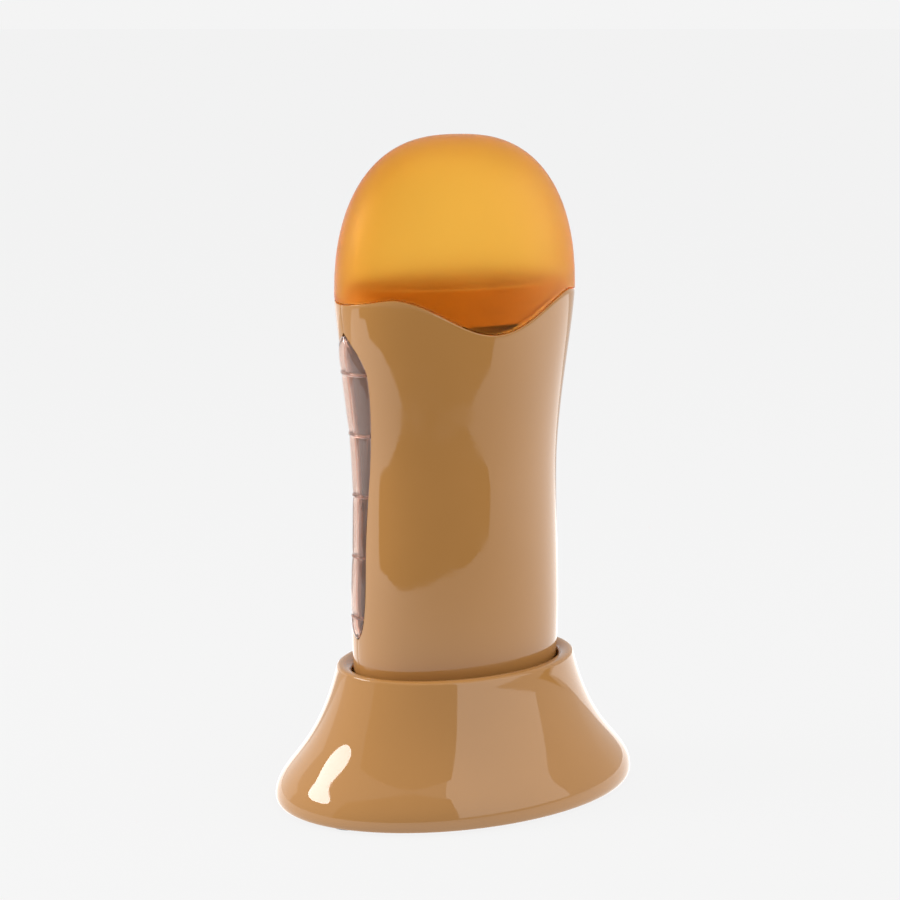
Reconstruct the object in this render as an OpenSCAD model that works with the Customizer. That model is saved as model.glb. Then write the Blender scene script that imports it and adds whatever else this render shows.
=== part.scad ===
// Roll-on wax heater: a handset with a lift-off cap, standing in the dock that feeds its heater.
// Z is up, the dock stands on z = 0 with its middle at the origin, and the wide front faces -Y.

/* [Handset] */
// Width of the handset at its foot
foot_w = 60.6; // [58:0.1:61]
// Width of the handset at the hip, just above the dock
hip_w = 65; // [64:0.1:66]
// Width of the handset at the waist, where it is held
waist_w = 63.2; // [62.8:0.1:64.5]
// Width of the handset at the shoulder, under the cap
shoulder_w = 74; // [72:0.5:78]
// Depth of the handset at the waist, front to back
waist_d = 39.2; // [39:0.1:41]
// Height of the hip above the foot
hip_rise = 38; // [34:1:42]
// Height of the waist above the foot
waist_rise = 79; // [72:1:84]
// Height of the shoulder above the foot
shoulder_rise = 132.4; // [130:0.2:138]
// Height of the cap's crown above the shoulder
crown_rise = 43.2; // [38:0.5:52]
// Wall of the two handset shells
shell_wall = 1.8; // [1.5:0.1:1.8]

/* [Cap] */
// Wall of the cap
cap_wall = 2.4; // [1.8:0.1:2.6]
// How square the dome looks from the front, 2 is an ellipse
dome_square = 2.54; // [2:0.02:3]
// How flat the dome is on top, 2 is an ellipse
dome_flat = 2.21; // [2:0.01:2.6]
// Depth of the tongue that the cap hangs over the front and the back
tongue_drop = 10.6; // [4:0.2:12]
// Half width of the tongue
tongue_half_w = 29; // [24:0.5:31]
// How far the cap's edge drops again at the narrow sides
side_drop = 2.1; // [0:0.1:3]
// Gap between the cap's edge and the shells
seam_gap = 0.4; // [0.3:0.05:0.8]
// Gap between the cap and the collar it slips over
collar_gap = 0.5; // [0.45:0.05:0.6]

/* [Level window] */
// Height of the window's lower tip above the foot
window_low = 34.4; // [33:0.2:38]
// Height of the window's upper tip above the foot
window_high = 122.4; // [116:0.2:123]
// Width of the window near its top, where it is widest
window_w = 14; // [11:0.2:15]
// Width of the window along its narrow lower half
window_neck_w = 7; // [5:0.1:9]
// How far the lens reaches behind the shells
lens_lip = 1.5; // [1:0.1:1.6]
// Thickness of the lens
lens_t = 1.4; // [1.2:0.1:1.6]
// Number of cross ribs on the lens
rib_count = 5; // [3:1:6]

/* [Cartridge bay] */
// Gap between the bay and the shells at the narrow sides of the waist
bay_side_gap = 1.5; // [1.2:0.1:2.6]
// Gap between a heater's clip and the shell at the waist
heater_gap = 0.45; // [0.4:0.05:0.8]
// Wall of the bay
bay_wall = 1.1; // [0.9:0.05:1.2]
// Height of the bay's floor above the foot
bay_rise = 32; // [31:0.5:34]
// Thickness of the bay's floor
bay_floor_t = 1.4; // [1:0.1:1.8]
// Wall of the collar
collar_wall = 1.6; // [1.2:0.1:2]
// How far the collar stands above the shoulder
collar_over = 2.1; // [1:0.1:4]

/* [Heater] */
// Width of each aluminium heater plate
plate_w = 26; // [22:0.5:27]
// Height of each heater plate
plate_h = 63.6; // [50:0.2:65]
// Thickness of a heater plate at its middle
plate_t = 1.5; // [1.3:0.05:1.6]
// Width of the rear plate's tail, which carries the thermostat
tail_w = 16; // [15.5:0.1:18]
// Width of each heating element
ptc_w = 14; // [12:0.5:14]
// Height of each heating element
ptc_h = 24; // [18:0.5:26]
// Thickness of each heating element
ptc_t = 1.3; // [1:0.05:1.35]
// Thickness of the spring clips
clip_t = 0.35; // [0.25:0.05:0.4]
// Width of the spring clips
clip_w = 8; // [5:0.5:9]

/* [Contacts] */
// Distance between the two contacts
contact_pitch = 24; // [20:0.5:26]
// Diameter of a contact pin
pin_d = 3.6; // [3:0.1:4]
// How far a pin can be pushed down
pin_travel = 2; // [1:0.1:2.2]
// How far a free pin stands above the pocket's floor
pin_rise = 2.1; // [1:0.1:2.2]
// Diameter of a contact pad in the handset
pad_d = 8.4; // [7:0.2:9]
// Turns of each contact spring
spring_turns = 4.5; // [3:0.5:5]
// Wire of each contact spring
spring_wire = 0.5; // [0.3:0.05:0.55]
// Diameter of the insulated leads
lead_d = 1.2; // [1:0.1:1.3]

/* [Dock] */
// Width of the dock at its foot
dock_w = 111; // [106:0.5:120]
// Depth of the dock as a share of its width
dock_ratio = 0.715; // [0.7:0.005:0.76]
// Height of the dock's rim above the table
dock_h = 40; // [38:0.5:42]
// Width of the dock just under its rim
rim_w = 73.4; // [72:0.2:76]
// Wall of the dock
dock_wall = 2.2; // [1.8:0.1:2.6]
// Side gap between the handset and the pocket
pocket_gap = 0.6; // [0.5:0.05:0.9]
// Front and back gap between the handset and the pocket
pocket_gap_y = 0.8; // [0.6:0.05:1]
// Height of the pocket's floor above the table
pocket_floor_z = 13.8; // [13.4:0.1:14.6]
// Thickness of the pocket's floor
pocket_floor_t = 1.6; // [1.4:0.1:1.8]

/* [Base plate and feet] */
// Height of the plate above the table
plate_z = 1; // [0.8:0.1:1.4]
// Thickness of the base plate
base_plate_t = 2.2; // [2:0.1:2.4]
// Diameter of a rubber foot
rubber_d = 12; // [9:0.5:13]
// How far the middle of a foot lies inside the dock's narrow end
feet_inset = 13.5; // [12.5:0.5:16.5]
// How far the feet stand apart, front to back
feet_y = 26; // [20:1:28]

/* [Cord gland] */
// Bore of the gland, for a 5.4 mm cord
gland_bore_d = 5.6; // [4:0.1:6]
// Height of the gland's axis above the table
gland_z = 10.5; // [10:0.1:11]

/* [Fasteners] */
// Diameter of the self-tapping screws
screw_d = 2.8; // [2:0.1:3]
// Diameter of their heads
screw_head_d = 5.2; // [4.5:0.1:5.6]
// Gap round a screw in its hole
screw_gap = 0.1; // [0.05:0.05:0.2]

/* [Hidden] */
$fn = 96;

// Fits and small allowances
seat_gap = 0.2;   // between the handset's foot and the pocket's floor
fit_gap = 0.2;    // between fixed pieces that drop into each other
run_gap = 0.08;   // round a pin in its guide
pin_hole_gap = 0.3; // round a pin or its flange where nothing guides it
touch_gap = 0.1;  // between a free pin and its pad
far = 200;        // reach of a cutting tool
eps = 0.01;       // overlap of a cutting tool past a face

// Heights
foot_z = pocket_floor_z + seat_gap;
hip_z = foot_z + hip_rise;
waist_z = foot_z + waist_rise;
shoulder_z = foot_z + shoulder_rise;
crown_z = shoulder_z + crown_rise;
bay_z = foot_z + bay_rise;
collar_z = shoulder_z + collar_over;
plate_top_z = plate_z + base_plate_t;
under_pocket_z = pocket_floor_z - pocket_floor_t;

// Depth as a share of width, for the handset's skin and for surfaces set in from it
grip_ratio = waist_d / waist_w;
function inset_ratio(half_w, ratio, wall) = (ratio * half_w - wall) / (half_w - wall);

// A cubic curve through p[0] and p[3], in n steps, from step number first on
function curve(p, n, first = 0) = [
  for (i = [first : n]) let (t = i / n, u = 1 - t)
    u * u * u * p[0] + 3 * u * u * t * p[1] + 3 * u * t * t * p[2] + t * t * t * p[3]
];
function inset(points, wall) = [for (p = points) [p[0] - wall, p[1]]];

// The handset's skin from foot to shoulder, as half width and height
foot_curve = curve([
  [foot_w / 2, foot_z],
  [foot_w / 2 + 0.35 * (hip_w - foot_w) / 2, foot_z + 0.3 * hip_rise],
  [hip_w / 2, hip_z - 0.35 * hip_rise],
  [hip_w / 2, hip_z]
], 5);
hip_to_waist = waist_rise - hip_rise;
waist_curve = curve([
  [hip_w / 2, hip_z],
  [hip_w / 2, hip_z + 0.35 * hip_to_waist],
  [waist_w / 2, waist_z - 0.35 * hip_to_waist],
  [waist_w / 2, waist_z]
], 5, 1);
waist_to_shoulder = shoulder_rise - waist_rise;
shoulder_curve = curve([
  [waist_w / 2, waist_z],
  [waist_w / 2, waist_z + 0.38 * waist_to_shoulder],
  [shoulder_w / 2, shoulder_z - 0.19 * waist_to_shoulder],
  [shoulder_w / 2, shoulder_z]
], 12, 1);
grip_curve = concat(foot_curve, waist_curve, shoulder_curve);

// The dome above the shoulder: a superellipse that ends in a small flat pole
pole_r = 2.5;
function dome_curve(half_w, base_z, rise) = concat(
  [for (i = [0 : 15]) let (t = 85 * i / 15)
    [half_w * pow(cos(t), 2 / dome_square), base_z + rise * pow(sin(t), 2 / dome_flat)]],
  [[pole_r, base_z + rise], [0, base_z + rise]]
);

// Height of the cap's edge at x, the same at the front and the back
function seam_z(x) = let (
    bell = abs(x) < tongue_half_w ? pow(cos(90 * x / tongue_half_w), 1.7) : 0,
    side_start = tongue_half_w - 1,
    side = max(0, abs(x) - side_start) / (shoulder_w / 2 - side_start)
  ) shoulder_z - tongue_drop * bell - side_drop * pow(side, 1.5);
seam_steps = 32;
seam_half_w = shoulder_w / 2 + 1;

// The collar and the bay
collar_half_w = shoulder_w / 2 - cap_wall - collar_gap;
collar_half_d = grip_ratio * shoulder_w / 2 - cap_wall - collar_gap;
// The shells are narrower than the collar below this height
collar_low_z = shoulder_z - tongue_drop + 2.5;
deck_t = 1.5;
bay_half_w = waist_w / 2 - shell_wall - bay_side_gap - bay_wall;
bay_half_d = waist_d / 2 - shell_wall - heater_gap - clip_t - ptc_t - plate_t;

// The heater stack, measured outward from the bay
plate_rise = 12;                    // of the heater plates above the bay's floor
plate_low_z = bay_z + plate_rise;
land_y = bay_half_d + plate_t;      // outer face of a heater plate
ptc_y = land_y + ptc_t;             // outer face of a heating element
ptc_z = plate_low_z + 4;
clip_end = 2;                       // height of a clip's foot
tail_t = plate_t - 0.3;
tail_low_z = foot_z + 11;

// Contacts
contact_x = contact_pitch / 2;
pin_tip_z = pocket_floor_z + pin_rise;
pad_z = pin_tip_z + touch_gap;
pad_t = 1;
pad_stem_d = 2.4;
pad_stem_top_z = pad_z + 5;
pin_flange_d = pin_d + 2.6;
pin_flange_t = 1.1;
guide_t = 1.6;                      // thickness of the carrier round a pin
guide_z = under_pocket_z - guide_t;
pin_flange_z = guide_z - touch_gap - pin_flange_t;
pin_stem_d = 2;
strip_t = 0.6;
strip_z = plate_top_z + 1;
strip_top_z = strip_z + strip_t;
// A pin's stem clears the strip by 1 mm when the pin is fully down
pin_stem_l = pin_flange_z - pin_travel - strip_top_z - 1;
carrier_z = strip_top_z + fit_gap;
carrier_w = contact_pitch + pin_flange_d + 4;
carrier_d = pin_flange_d + 6;
ear_t = 1.5;
ear_z = carrier_z + 1.5;
boss_wall = 2;                      // round every screw hole
boss_r = screw_d / 2 + boss_wall;
ear_y = carrier_d / 2 + boss_r + fit_gap;
ear_half_w = 4;
spring_seat_w = 8;                  // of the raised squares under the strips

// Terminal block
block_w = 22;
block_d = 9;
block_h = 7;
block_y = ear_y + boss_r + 1.2;
block_mid_y = block_y + block_d / 2;
block_top_z = plate_top_z + block_h;
pole_x = block_w / 4;
tunnel_w = 4.6;
tunnel_h = 3.4;
strip_w = 4;

// Screw places
base_screw_xy = [30, 21];
base_screw_l = 9;
screw_seat = 1.3;                   // depth of a screw head in the base plate
foot_sink = 0.6;                    // depth of a rubber foot in the base plate
housing_screw_x = 19;
housing_screw_z = foot_z + 16;
housing_head_y = 8;
housing_screw_l = 16;
head_gap = 0.3;                     // round a screw head in its recess

// Gland
gland_body_d = gland_bore_d + 3;
gland_lip_d = gland_body_d + 2.2;
gland_flange_d = gland_body_d + 4;
gland_recess_gap = 0.5;             // round the flange in its recess
gland_pad_t = 3.5;
gland_flange_t = 1.8;
gland_tip_y = dock_ratio * dock_w / 2 - 0.2;
gland_tip_l = 2;
gland_seat_y = gland_tip_y - 5;
gland_inner_y = gland_seat_y - gland_pad_t;
gland_lip_t = 2;

// ---------- shared shapes ----------

// Everything behind y = 0 when side is 1, everything in front of it when side is -1
module half_space(side)
  translate([-far, side > 0 ? 0 : -far, -far / 2]) cube([2 * far, far, 2 * far]);

// A shape that looks the same from the front and the rear, joined from its two halves
module in_halves() for (turn = [0, 180]) rotate([0, 0, turn]) difference() {
  children();
  half_space(-1);
}

// A half profile turned round Z and squashed front to back
module turned(ratio) scale([1, ratio, 1]) rotate_extrude() children();

// An upright elliptical cylinder
module oval(half_w, half_d, z0, z1) in_halves()
  translate([0, 0, z0]) scale([1, half_d / half_w, 1]) cylinder(r = half_w, h = z1 - z0);

// An axle along Y between two y values
module along_y(x, z, r, y0, y1)
  translate([x, y0, z]) rotate([-90, 0, 0]) cylinder(r = r, h = y1 - y0);

// All that lies above the seam, or below it, shifted by dz
module seam_side(dz, above) {
  edge = [for (i = [0 : seam_steps]) let (x = seam_half_w * (2 * i / seam_steps - 1)) [x, seam_z(x) + dz]];
  reach = above ? crown_z + 10 : foot_z - 10;
  translate([0, far / 2, 0]) rotate([90, 0, 0]) linear_extrude(far)
    polygon(concat(edge, [[seam_half_w, reach], [-seam_half_w, reach]]));
}

// The handset's skin as a solid, set in by wall, from z0 up to the shoulder
module grip_solid(wall, z0) {
  ratio = inset_ratio(waist_w / 2, grip_ratio, wall);
  intersection() {
    turned(ratio)
      polygon(concat([[0, foot_z]], inset(grip_curve, wall), [[0, shoulder_z]]));
    translate([-far / 2, -far / 2, z0]) cube([far, far, far]);
  }
}

// The window's outline seen from the side, grown by grow, along Y and Z
module window_outline(grow) {
  z_low = foot_z + window_low;
  z_high = foot_z + window_high;
  span = z_high - z_low;
  wide_z = z_high - 0.14 * span;
  neck_z = z_low + 0.3 * span;
  half_w = window_w / 2;
  half_neck = window_neck_w / 2;
  low_part = [[0, z_low], [half_neck, z_low + 0.02 * span],
    [half_neck + 0.6, z_low + 0.1 * span], [half_neck, neck_z]];
  mid_part = [[half_neck, neck_z], [half_neck, neck_z + 0.22 * span],
    [half_w, wide_z - 0.16 * span], [half_w, wide_z]];
  top_part = [[half_w, wide_z], [half_w, wide_z + 0.07 * span], [1, z_high - 0.01 * span], [0, z_high]];
  side = concat(curve(low_part, 6), curve(mid_part, 6, 1), curve(top_part, 6, 1));
  outline = concat(side, [for (i = [len(side) - 2 : -1 : 1]) [-side[i][0], side[i][1]]]);
  translate([-far / 2, 0, 0]) rotate([90, 0, 90]) linear_extrude(far / 2 - waist_w / 4)
    offset(delta = grow) polygon(outline);
}

// A self-tapping screw that points up, with its head's seat at z = 0
module screw(length, head_t = 1.2) {
  cylinder(d = screw_d, h = length);
  translate([0, 0, -head_t]) cylinder(d = screw_head_d, h = head_t);
}

// A round lead with eight sides, swept along points
module lead(points) {
  n = len(points);
  sides = 8;
  function dir(i) = let (a = points[max(0, i - 1)], b = points[min(n - 1, i + 1)]) (b - a) / norm(b - a);
  function side_of(d) = let (c = cross(d, [1, 0.2, 0.1])) c / norm(c);
  rings = [for (i = [0 : n - 1]) let (d = dir(i), u = side_of(d), v = cross(d, u))
    for (k = [0 : sides - 1]) let (a = 360 * k / sides)
      points[i] + lead_d / 2 * (cos(a) * u + sin(a) * v)];
  walls = [for (i = [0 : n - 2]) for (k = [0 : sides - 1]) let (m = (k + 1) % sides)
    [i * sides + k, (i + 1) * sides + k, (i + 1) * sides + m, i * sides + m]];
  ends = [[for (k = [0 : sides - 1]) k], [for (k = [sides - 1 : -1 : 0]) (n - 1) * sides + k]];
  polyhedron(rings, concat(walls, ends), convexity = 4);
}

// Smooth points through a hand-chosen route
function smooth(p, steps = 4) = concat(
  [for (i = [0 : len(p) - 2]) let (
      a = p[max(0, i - 1)], b = p[i], c = p[i + 1], d = p[min(len(p) - 1, i + 2)])
    for (j = [0 : steps - 1]) let (t = j / steps)
      0.5 * (2 * b + (c - a) * t + (2 * a - 5 * b + 4 * c - d) * t * t
        + (3 * b - a - 3 * c + d) * t * t * t)],
  [p[len(p) - 1]]
);

// ---------- dock ----------

rim_edge_z = dock_h - 1.3;
flare_curve = curve([
  [rim_w / 2, rim_edge_z],
  [rim_w / 2 + 0.35 * (dock_w - rim_w) / 2, rim_edge_z - 0.69 * (rim_edge_z - plate_z)],
  [dock_w / 2, plate_z + 10],
  [dock_w / 2, plate_z + 1.6]
], 14);
pocket_half_w = foot_w / 2 + pocket_gap;
mouth_half_w = hip_w / 2 - 0.1;
mouth_z = dock_h - 2;
pocket_ratio = (grip_ratio * hip_w / 2 + pocket_gap_y) / (hip_w / 2 + pocket_gap);

module dock_outer() in_halves() turned(dock_ratio) polygon(concat(
  [[0, dock_h], [rim_w / 2 - 2.1, dock_h], [rim_w / 2 - 0.7, dock_h - 0.4]],
  flare_curve,
  [[dock_w / 2 - 0.25, plate_z + 0.7], [dock_w / 2 - 0.9, plate_z], [0, plate_z]]
));

module dock_cavity() in_halves() turned(inset_ratio(dock_w / 2, dock_ratio, dock_wall)) polygon(concat(
  [[0, rim_edge_z - 2], [rim_w / 2 - dock_wall, rim_edge_z - 2]],
  [for (p = inset(flare_curve, dock_wall)) if (p[1] < rim_edge_z - 2.5) p],
  [[dock_w / 2 - dock_wall, plate_z - 1], [0, plate_z - 1]]
));

module pocket_solid(grow, z0) in_halves() turned(pocket_ratio) polygon([
  [0, z0], [pocket_half_w + grow, z0], [mouth_half_w + grow, mouth_z],
  [mouth_half_w + grow + 1.6, dock_h + eps], [0, dock_h + eps]
]);

module at_base_screws()
  for (sx = [-1, 1], sy = [-1, 1]) translate([sx * base_screw_xy[0], sy * base_screw_xy[1], 0]) children();

module at_carrier_screws() for (sy = [-1, 1]) translate([0, sy * ear_y, 0]) children();

module screw_hole(h) cylinder(d = screw_d + 2 * screw_gap, h = h);

module gland_boss() intersection() {
  along_y(0, gland_z, gland_flange_d / 2 + gland_recess_gap + 1, gland_inner_y, far / 2);
  translate([-far / 2, 0, plate_top_z]) cube([far, far, far]);
}

module base_shell() color("burlywood") difference() {
  dock_outer();
  difference() {
    dock_cavity();
    pocket_solid(dock_wall, under_pocket_z);
    at_base_screws() translate([0, 0, plate_top_z]) cylinder(r = boss_r, h = dock_h);
    at_carrier_screws() translate([0, 0, ear_z + ear_t]) cylinder(r = boss_r, h = under_pocket_z - ear_z);
    gland_boss();
  }
  pocket_solid(0, pocket_floor_z);
  for (sx = [-1, 1]) translate([sx * contact_x, 0, 0]) cylinder(d = pin_d + 2 * pin_hole_gap, h = dock_h);
  at_base_screws() translate([0, 0, plate_z]) screw_hole(base_screw_l + 3);
  at_carrier_screws() translate([0, 0, ear_z]) screw_hole(under_pocket_z - ear_z - fit_gap);
  along_y(0, gland_z, gland_body_d / 2 + fit_gap, 0, far / 2);
  along_y(0, gland_z, gland_flange_d / 2 + gland_recess_gap, gland_seat_y, far / 2);
}

module at_feet()
  for (sx = [-1, 1], sy = [-1, 1])
    translate([sx * (dock_w / 2 - feet_inset), sy * feet_y / 2, 0]) children();

module base_bottom_plate() color("tan") difference() {
  half_w = dock_w / 2 - dock_wall - fit_gap;
  half_d = dock_ratio * dock_w / 2 - dock_wall - fit_gap;
  union() {
    oval(half_w, half_d, plate_z, plate_top_z);
    for (sx = [-1, 1]) translate([sx * contact_x - spring_seat_w / 2, -spring_seat_w / 2, plate_top_z - eps])
      cube([spring_seat_w, spring_seat_w, strip_z - plate_top_z + eps]);
  }
  at_base_screws() {
    translate([0, 0, plate_z - eps]) cylinder(d = screw_d + 4 * screw_gap, h = base_plate_t + 2 * eps);
    translate([0, 0, plate_z - eps]) cylinder(d = screw_head_d + 2 * head_gap, h = screw_seat + eps);
  }
  at_feet() translate([0, 0, plate_z - eps]) cylinder(d = rubber_d + 2 * fit_gap, h = foot_sink + eps);
}

module rubber_feet() color("dimgray") at_feet() cylinder(d = rubber_d, h = plate_z + foot_sink);

module base_screws() color("silver")
  at_base_screws() translate([0, 0, plate_z + screw_seat]) screw(base_screw_l);

module cord_gland() color("tan") difference() {
  union() {
    along_y(0, gland_z, gland_body_d / 2, gland_inner_y - gland_lip_t, gland_tip_y - gland_tip_l);
    along_y(0, gland_z, gland_lip_d / 2, gland_inner_y - gland_lip_t, gland_inner_y);
    along_y(0, gland_z, gland_flange_d / 2, gland_seat_y, gland_seat_y + gland_flange_t);
    translate([0, gland_tip_y - gland_tip_l, gland_z]) rotate([-90, 0, 0])
      cylinder(d1 = gland_body_d, d2 = gland_body_d - 1.6, h = gland_tip_l);
  }
  along_y(0, gland_z, gland_bore_d / 2, 0, far / 2);
}

module at_poles() for (sx = [-1, 1]) translate([sx * pole_x, 0, 0]) children();

module terminal_block() color("ivory") difference() {
  translate([-block_w / 2, block_y, plate_top_z]) cube([block_w, block_d, block_h]);
  at_poles() {
    translate([-tunnel_w / 2, block_y - 1, strip_z - fit_gap]) cube([tunnel_w, block_d + 2, tunnel_h]);
    translate([0, block_mid_y, strip_z + 1]) screw_hole(block_h);
  }
}

// Grub screws with a slot, drawn a little above the strips that they will press on
module terminal_screws() color("silver") {
  low_z = strip_top_z + 0.8;
  slot = 0.6;
  at_poles() translate([0, block_mid_y, 0]) difference() {
    translate([0, 0, low_z]) cylinder(d = screw_d, h = block_top_z - fit_gap - low_z);
    translate([-screw_d, -slot / 2, block_top_z - fit_gap - slot]) cube([2 * screw_d, slot, 2 * slot]);
  }
}

module contact_carrier() color("ivory") difference() {
  ear_end_y = ear_y + boss_r;
  union() {
    translate([-carrier_w / 2, -carrier_d / 2, carrier_z])
      cube([carrier_w, carrier_d, under_pocket_z - carrier_z]);
    translate([-ear_half_w, -ear_end_y, ear_z]) cube([2 * ear_half_w, 2 * ear_end_y, ear_t]);
  }
  for (sx = [-1, 1]) translate([sx * contact_x, 0, 0]) {
    cylinder(d = pin_d + 2 * run_gap, h = dock_h);
    cylinder(d = pin_flange_d + 2 * pin_hole_gap, h = guide_z);
  }
  at_carrier_screws() cylinder(d = screw_d + 4 * screw_gap, h = dock_h);
}

module carrier_screws() color("silver")
  at_carrier_screws() translate([0, 0, ear_z]) screw(under_pocket_z - ear_z - 4 * fit_gap);

// A brass strip from under one contact spring to its pole of the terminal block
module contact_strip(sx) color("gold") translate([0, 0, strip_z]) mirror([sx < 0 ? 1 : 0, 0, 0]) {
  seat = spring_seat_w - 1;
  turn_y = block_y - 3.5;
  low_y = turn_y - strip_w;
  translate([contact_x - seat / 2, -seat / 2, 0]) cube([seat, seat, strip_t]);
  translate([contact_x - strip_w / 2, 0, 0]) cube([strip_w, turn_y, strip_t]);
  translate([pole_x - strip_w / 2, low_y, 0]) cube([contact_x - pole_x + strip_w, strip_w, strip_t]);
  translate([pole_x - strip_w / 2, low_y, 0]) cube([strip_w, block_mid_y + 2 - low_y, strip_t]);
}
module contact_strip_live() contact_strip(1);
module contact_strip_neutral() contact_strip(-1);

// A sprung pin: domed tip, flange that stops it, and a stem inside its spring
module contact_pin(sx) color("gold") translate([sx * contact_x, 0, 0]) {
  translate([0, 0, pin_tip_z - pin_d / 2]) sphere(d = pin_d);
  translate([0, 0, pin_flange_z]) cylinder(d = pin_d, h = pin_tip_z - pin_d / 2 - pin_flange_z);
  translate([0, 0, pin_flange_z]) cylinder(d = pin_flange_d, h = pin_flange_t);
  translate([0, 0, pin_flange_z - pin_stem_l]) cylinder(d = pin_stem_d, h = pin_stem_l + eps);
}
module contact_pin_live() contact_pin(1);
module contact_pin_neutral() contact_pin(-1);

// A compression spring between a strip and a pin's flange
module contact_spring(sx) {
  sides = 6;
  per_turn = 12;
  r = (pin_stem_d + pin_flange_d) / 4;
  z0 = strip_top_z + spring_wire / 2 + 0.05;
  z1 = pin_flange_z - spring_wire / 2 - 0.05;
  n = spring_turns * per_turn;
  rings = [for (i = [0 : n]) let (a = 360 * i / per_turn, z = z0 + (z1 - z0) * i / n)
    for (k = [0 : sides - 1]) let (b = 360 * k / sides, q = r + spring_wire / 2 * cos(b))
      [q * cos(a), q * sin(a), z + spring_wire / 2 * sin(b)]];
  walls = [for (i = [0 : n - 1]) for (k = [0 : sides - 1]) let (m = (k + 1) % sides)
    [i * sides + k, i * sides + m, (i + 1) * sides + m, (i + 1) * sides + k]];
  ends = [[for (k = [sides - 1 : -1 : 0]) k], [for (k = [0 : sides - 1]) n * sides + k]];
  color("silver") translate([sx * contact_x, 0, 0]) polyhedron(rings, concat(walls, ends), convexity = 8);
}
module contact_spring_live() contact_spring(1);
module contact_spring_neutral() contact_spring(-1);

// ---------- handset shells ----------

cover_lip = 1.2;                            // how far the shells reach under the cover's flange
cover_flange_z = pad_z + 0.6;
cover_flange_t = 1.7;
lip_half_w = foot_w / 2 - shell_wall - cover_lip;
lip_half_d = grip_ratio * foot_w / 2 - shell_wall - cover_lip;
rest_z = bay_z - bay_floor_t;               // underside of the bay
bay_out_half_w = bay_half_w + bay_wall;
bay_out_half_d = bay_half_d + bay_wall;
upper_rib_z = plate_low_z + plate_h + 2.5;

// Inner ribs of one shell: a ledge under the bay and a ring that centres it
module shell_ribs(side) difference() {
  union() {
    intersection() {
      grip_solid(shell_wall / 2, rest_z - 1.6);
      oval(far / 2, far / 2, rest_z - 1.6, rest_z);
    }
    intersection() {
      grip_solid(shell_wall / 2, upper_rib_z);
      oval(far / 2, far / 2, upper_rib_z, upper_rib_z + 1.6);
    }
  }
  oval(bay_half_w - 2, bay_half_d - 2, rest_z - 3, rest_z + 3);
  oval(bay_out_half_w + fit_gap, bay_out_half_d + fit_gap, rest_z + 1, collar_z);
  translate([-plate_w / 2, -far / 2, rest_z - 3]) cube([plate_w, far, 6]);
  translate([-far, -window_w / 2 - lens_lip - 1, foot_z]) cube([far, window_w + 2 * lens_lip + 2, crown_z]);
  half_space(-side);
}

// One shell: side is -1 for the front, 1 for the rear
module shell(side) difference() {
  union() {
    difference() {
      grip_solid(0, foot_z);
      grip_solid(shell_wall, cover_flange_z);
      oval(lip_half_w, lip_half_d, foot_z - 1, cover_flange_z + 1);
      half_space(-side);
      seam_side(-seam_gap / 2, true);
      window_outline(0);
    }
    shell_ribs(side);
    for (sx = [-1, 1]) intersection() {
      grip_solid(shell_wall / 2, foot_z);
      along_y(sx * housing_screw_x, housing_screw_z, housing_boss_r(side),
        side > 0 ? 0.05 : -far / 2, side > 0 ? far / 2 : -0.05);
    }
  }
  for (sx = [-1, 1])
    along_y(sx * housing_screw_x, housing_screw_z, screw_d / 2 + screw_gap,
      side > 0 ? -1 : housing_head_y - housing_screw_l - 0.5, side > 0 ? far / 2 : 1);
  if (side > 0)
    for (sx = [-1, 1])
      along_y(sx * housing_screw_x, housing_screw_z, screw_head_d / 2 + head_gap, housing_head_y, far / 2);
}
function housing_boss_r(side) = side > 0 ? screw_head_d / 2 + 1.5 : boss_r;

module front_shell() color("burlywood") shell(-1);
module rear_shell() color("burlywood") shell(1);

module housing_screws() color("silver")
  for (sx = [-1, 1]) translate([sx * housing_screw_x, housing_head_y, housing_screw_z])
    rotate([90, 0, 0]) screw(housing_screw_l);

// The clear lens: its face fills the window and its lip lies behind the shells
module window_lens() color("mistyrose", 0.6) {
  back_wall = shell_wall + fit_gap;
  rib_h = 0.9;
  difference() {
    union() {
      intersection() {
        grip_solid(fit_gap, foot_z);
        window_outline(-fit_gap);
      }
      intersection() {
        union() for (i = [0 : rib_count - 1])
          translate([-far / 2, -window_w, lens_rib_z(i)]) cube([far / 2, 2 * window_w, rib_h]);
        grip_solid(0, foot_z);
        window_outline(-fit_gap);
      }
      intersection() {
        grip_solid(back_wall, foot_z);
        window_outline(lens_lip);
      }
    }
    grip_solid(back_wall + lens_t - 0.5, foot_z);
    // The lip's tip ends under the collar
    translate([-far, -far / 2, collar_low_z - fit_gap]) cube([far, far, far]);
  }
}
low_tip_l = 7;                              // from the window's lower tip to the lowest rib
high_tip_l = 11.5;                          // from the highest rib to the window's upper tip
function lens_rib_z(i) = foot_z + window_low + low_tip_l
  + i * (window_high - window_low - low_tip_l - high_tip_l) / (rib_count - 1);

// ---------- cartridge bay ----------

// The collar that the cap slips over, with a deck round the mouth of the bay
module cap_collar() color("peru") difference() {
  union() {
    oval(collar_half_w, collar_half_d, collar_low_z, collar_z);
    for (side = [-1, 1]) collar_snap(side);
  }
  oval(bay_half_w, bay_half_d, collar_low_z - 1, crown_z);
  oval(collar_half_w - collar_wall, collar_half_d - collar_wall, collar_low_z + deck_t, crown_z);
}

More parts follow.
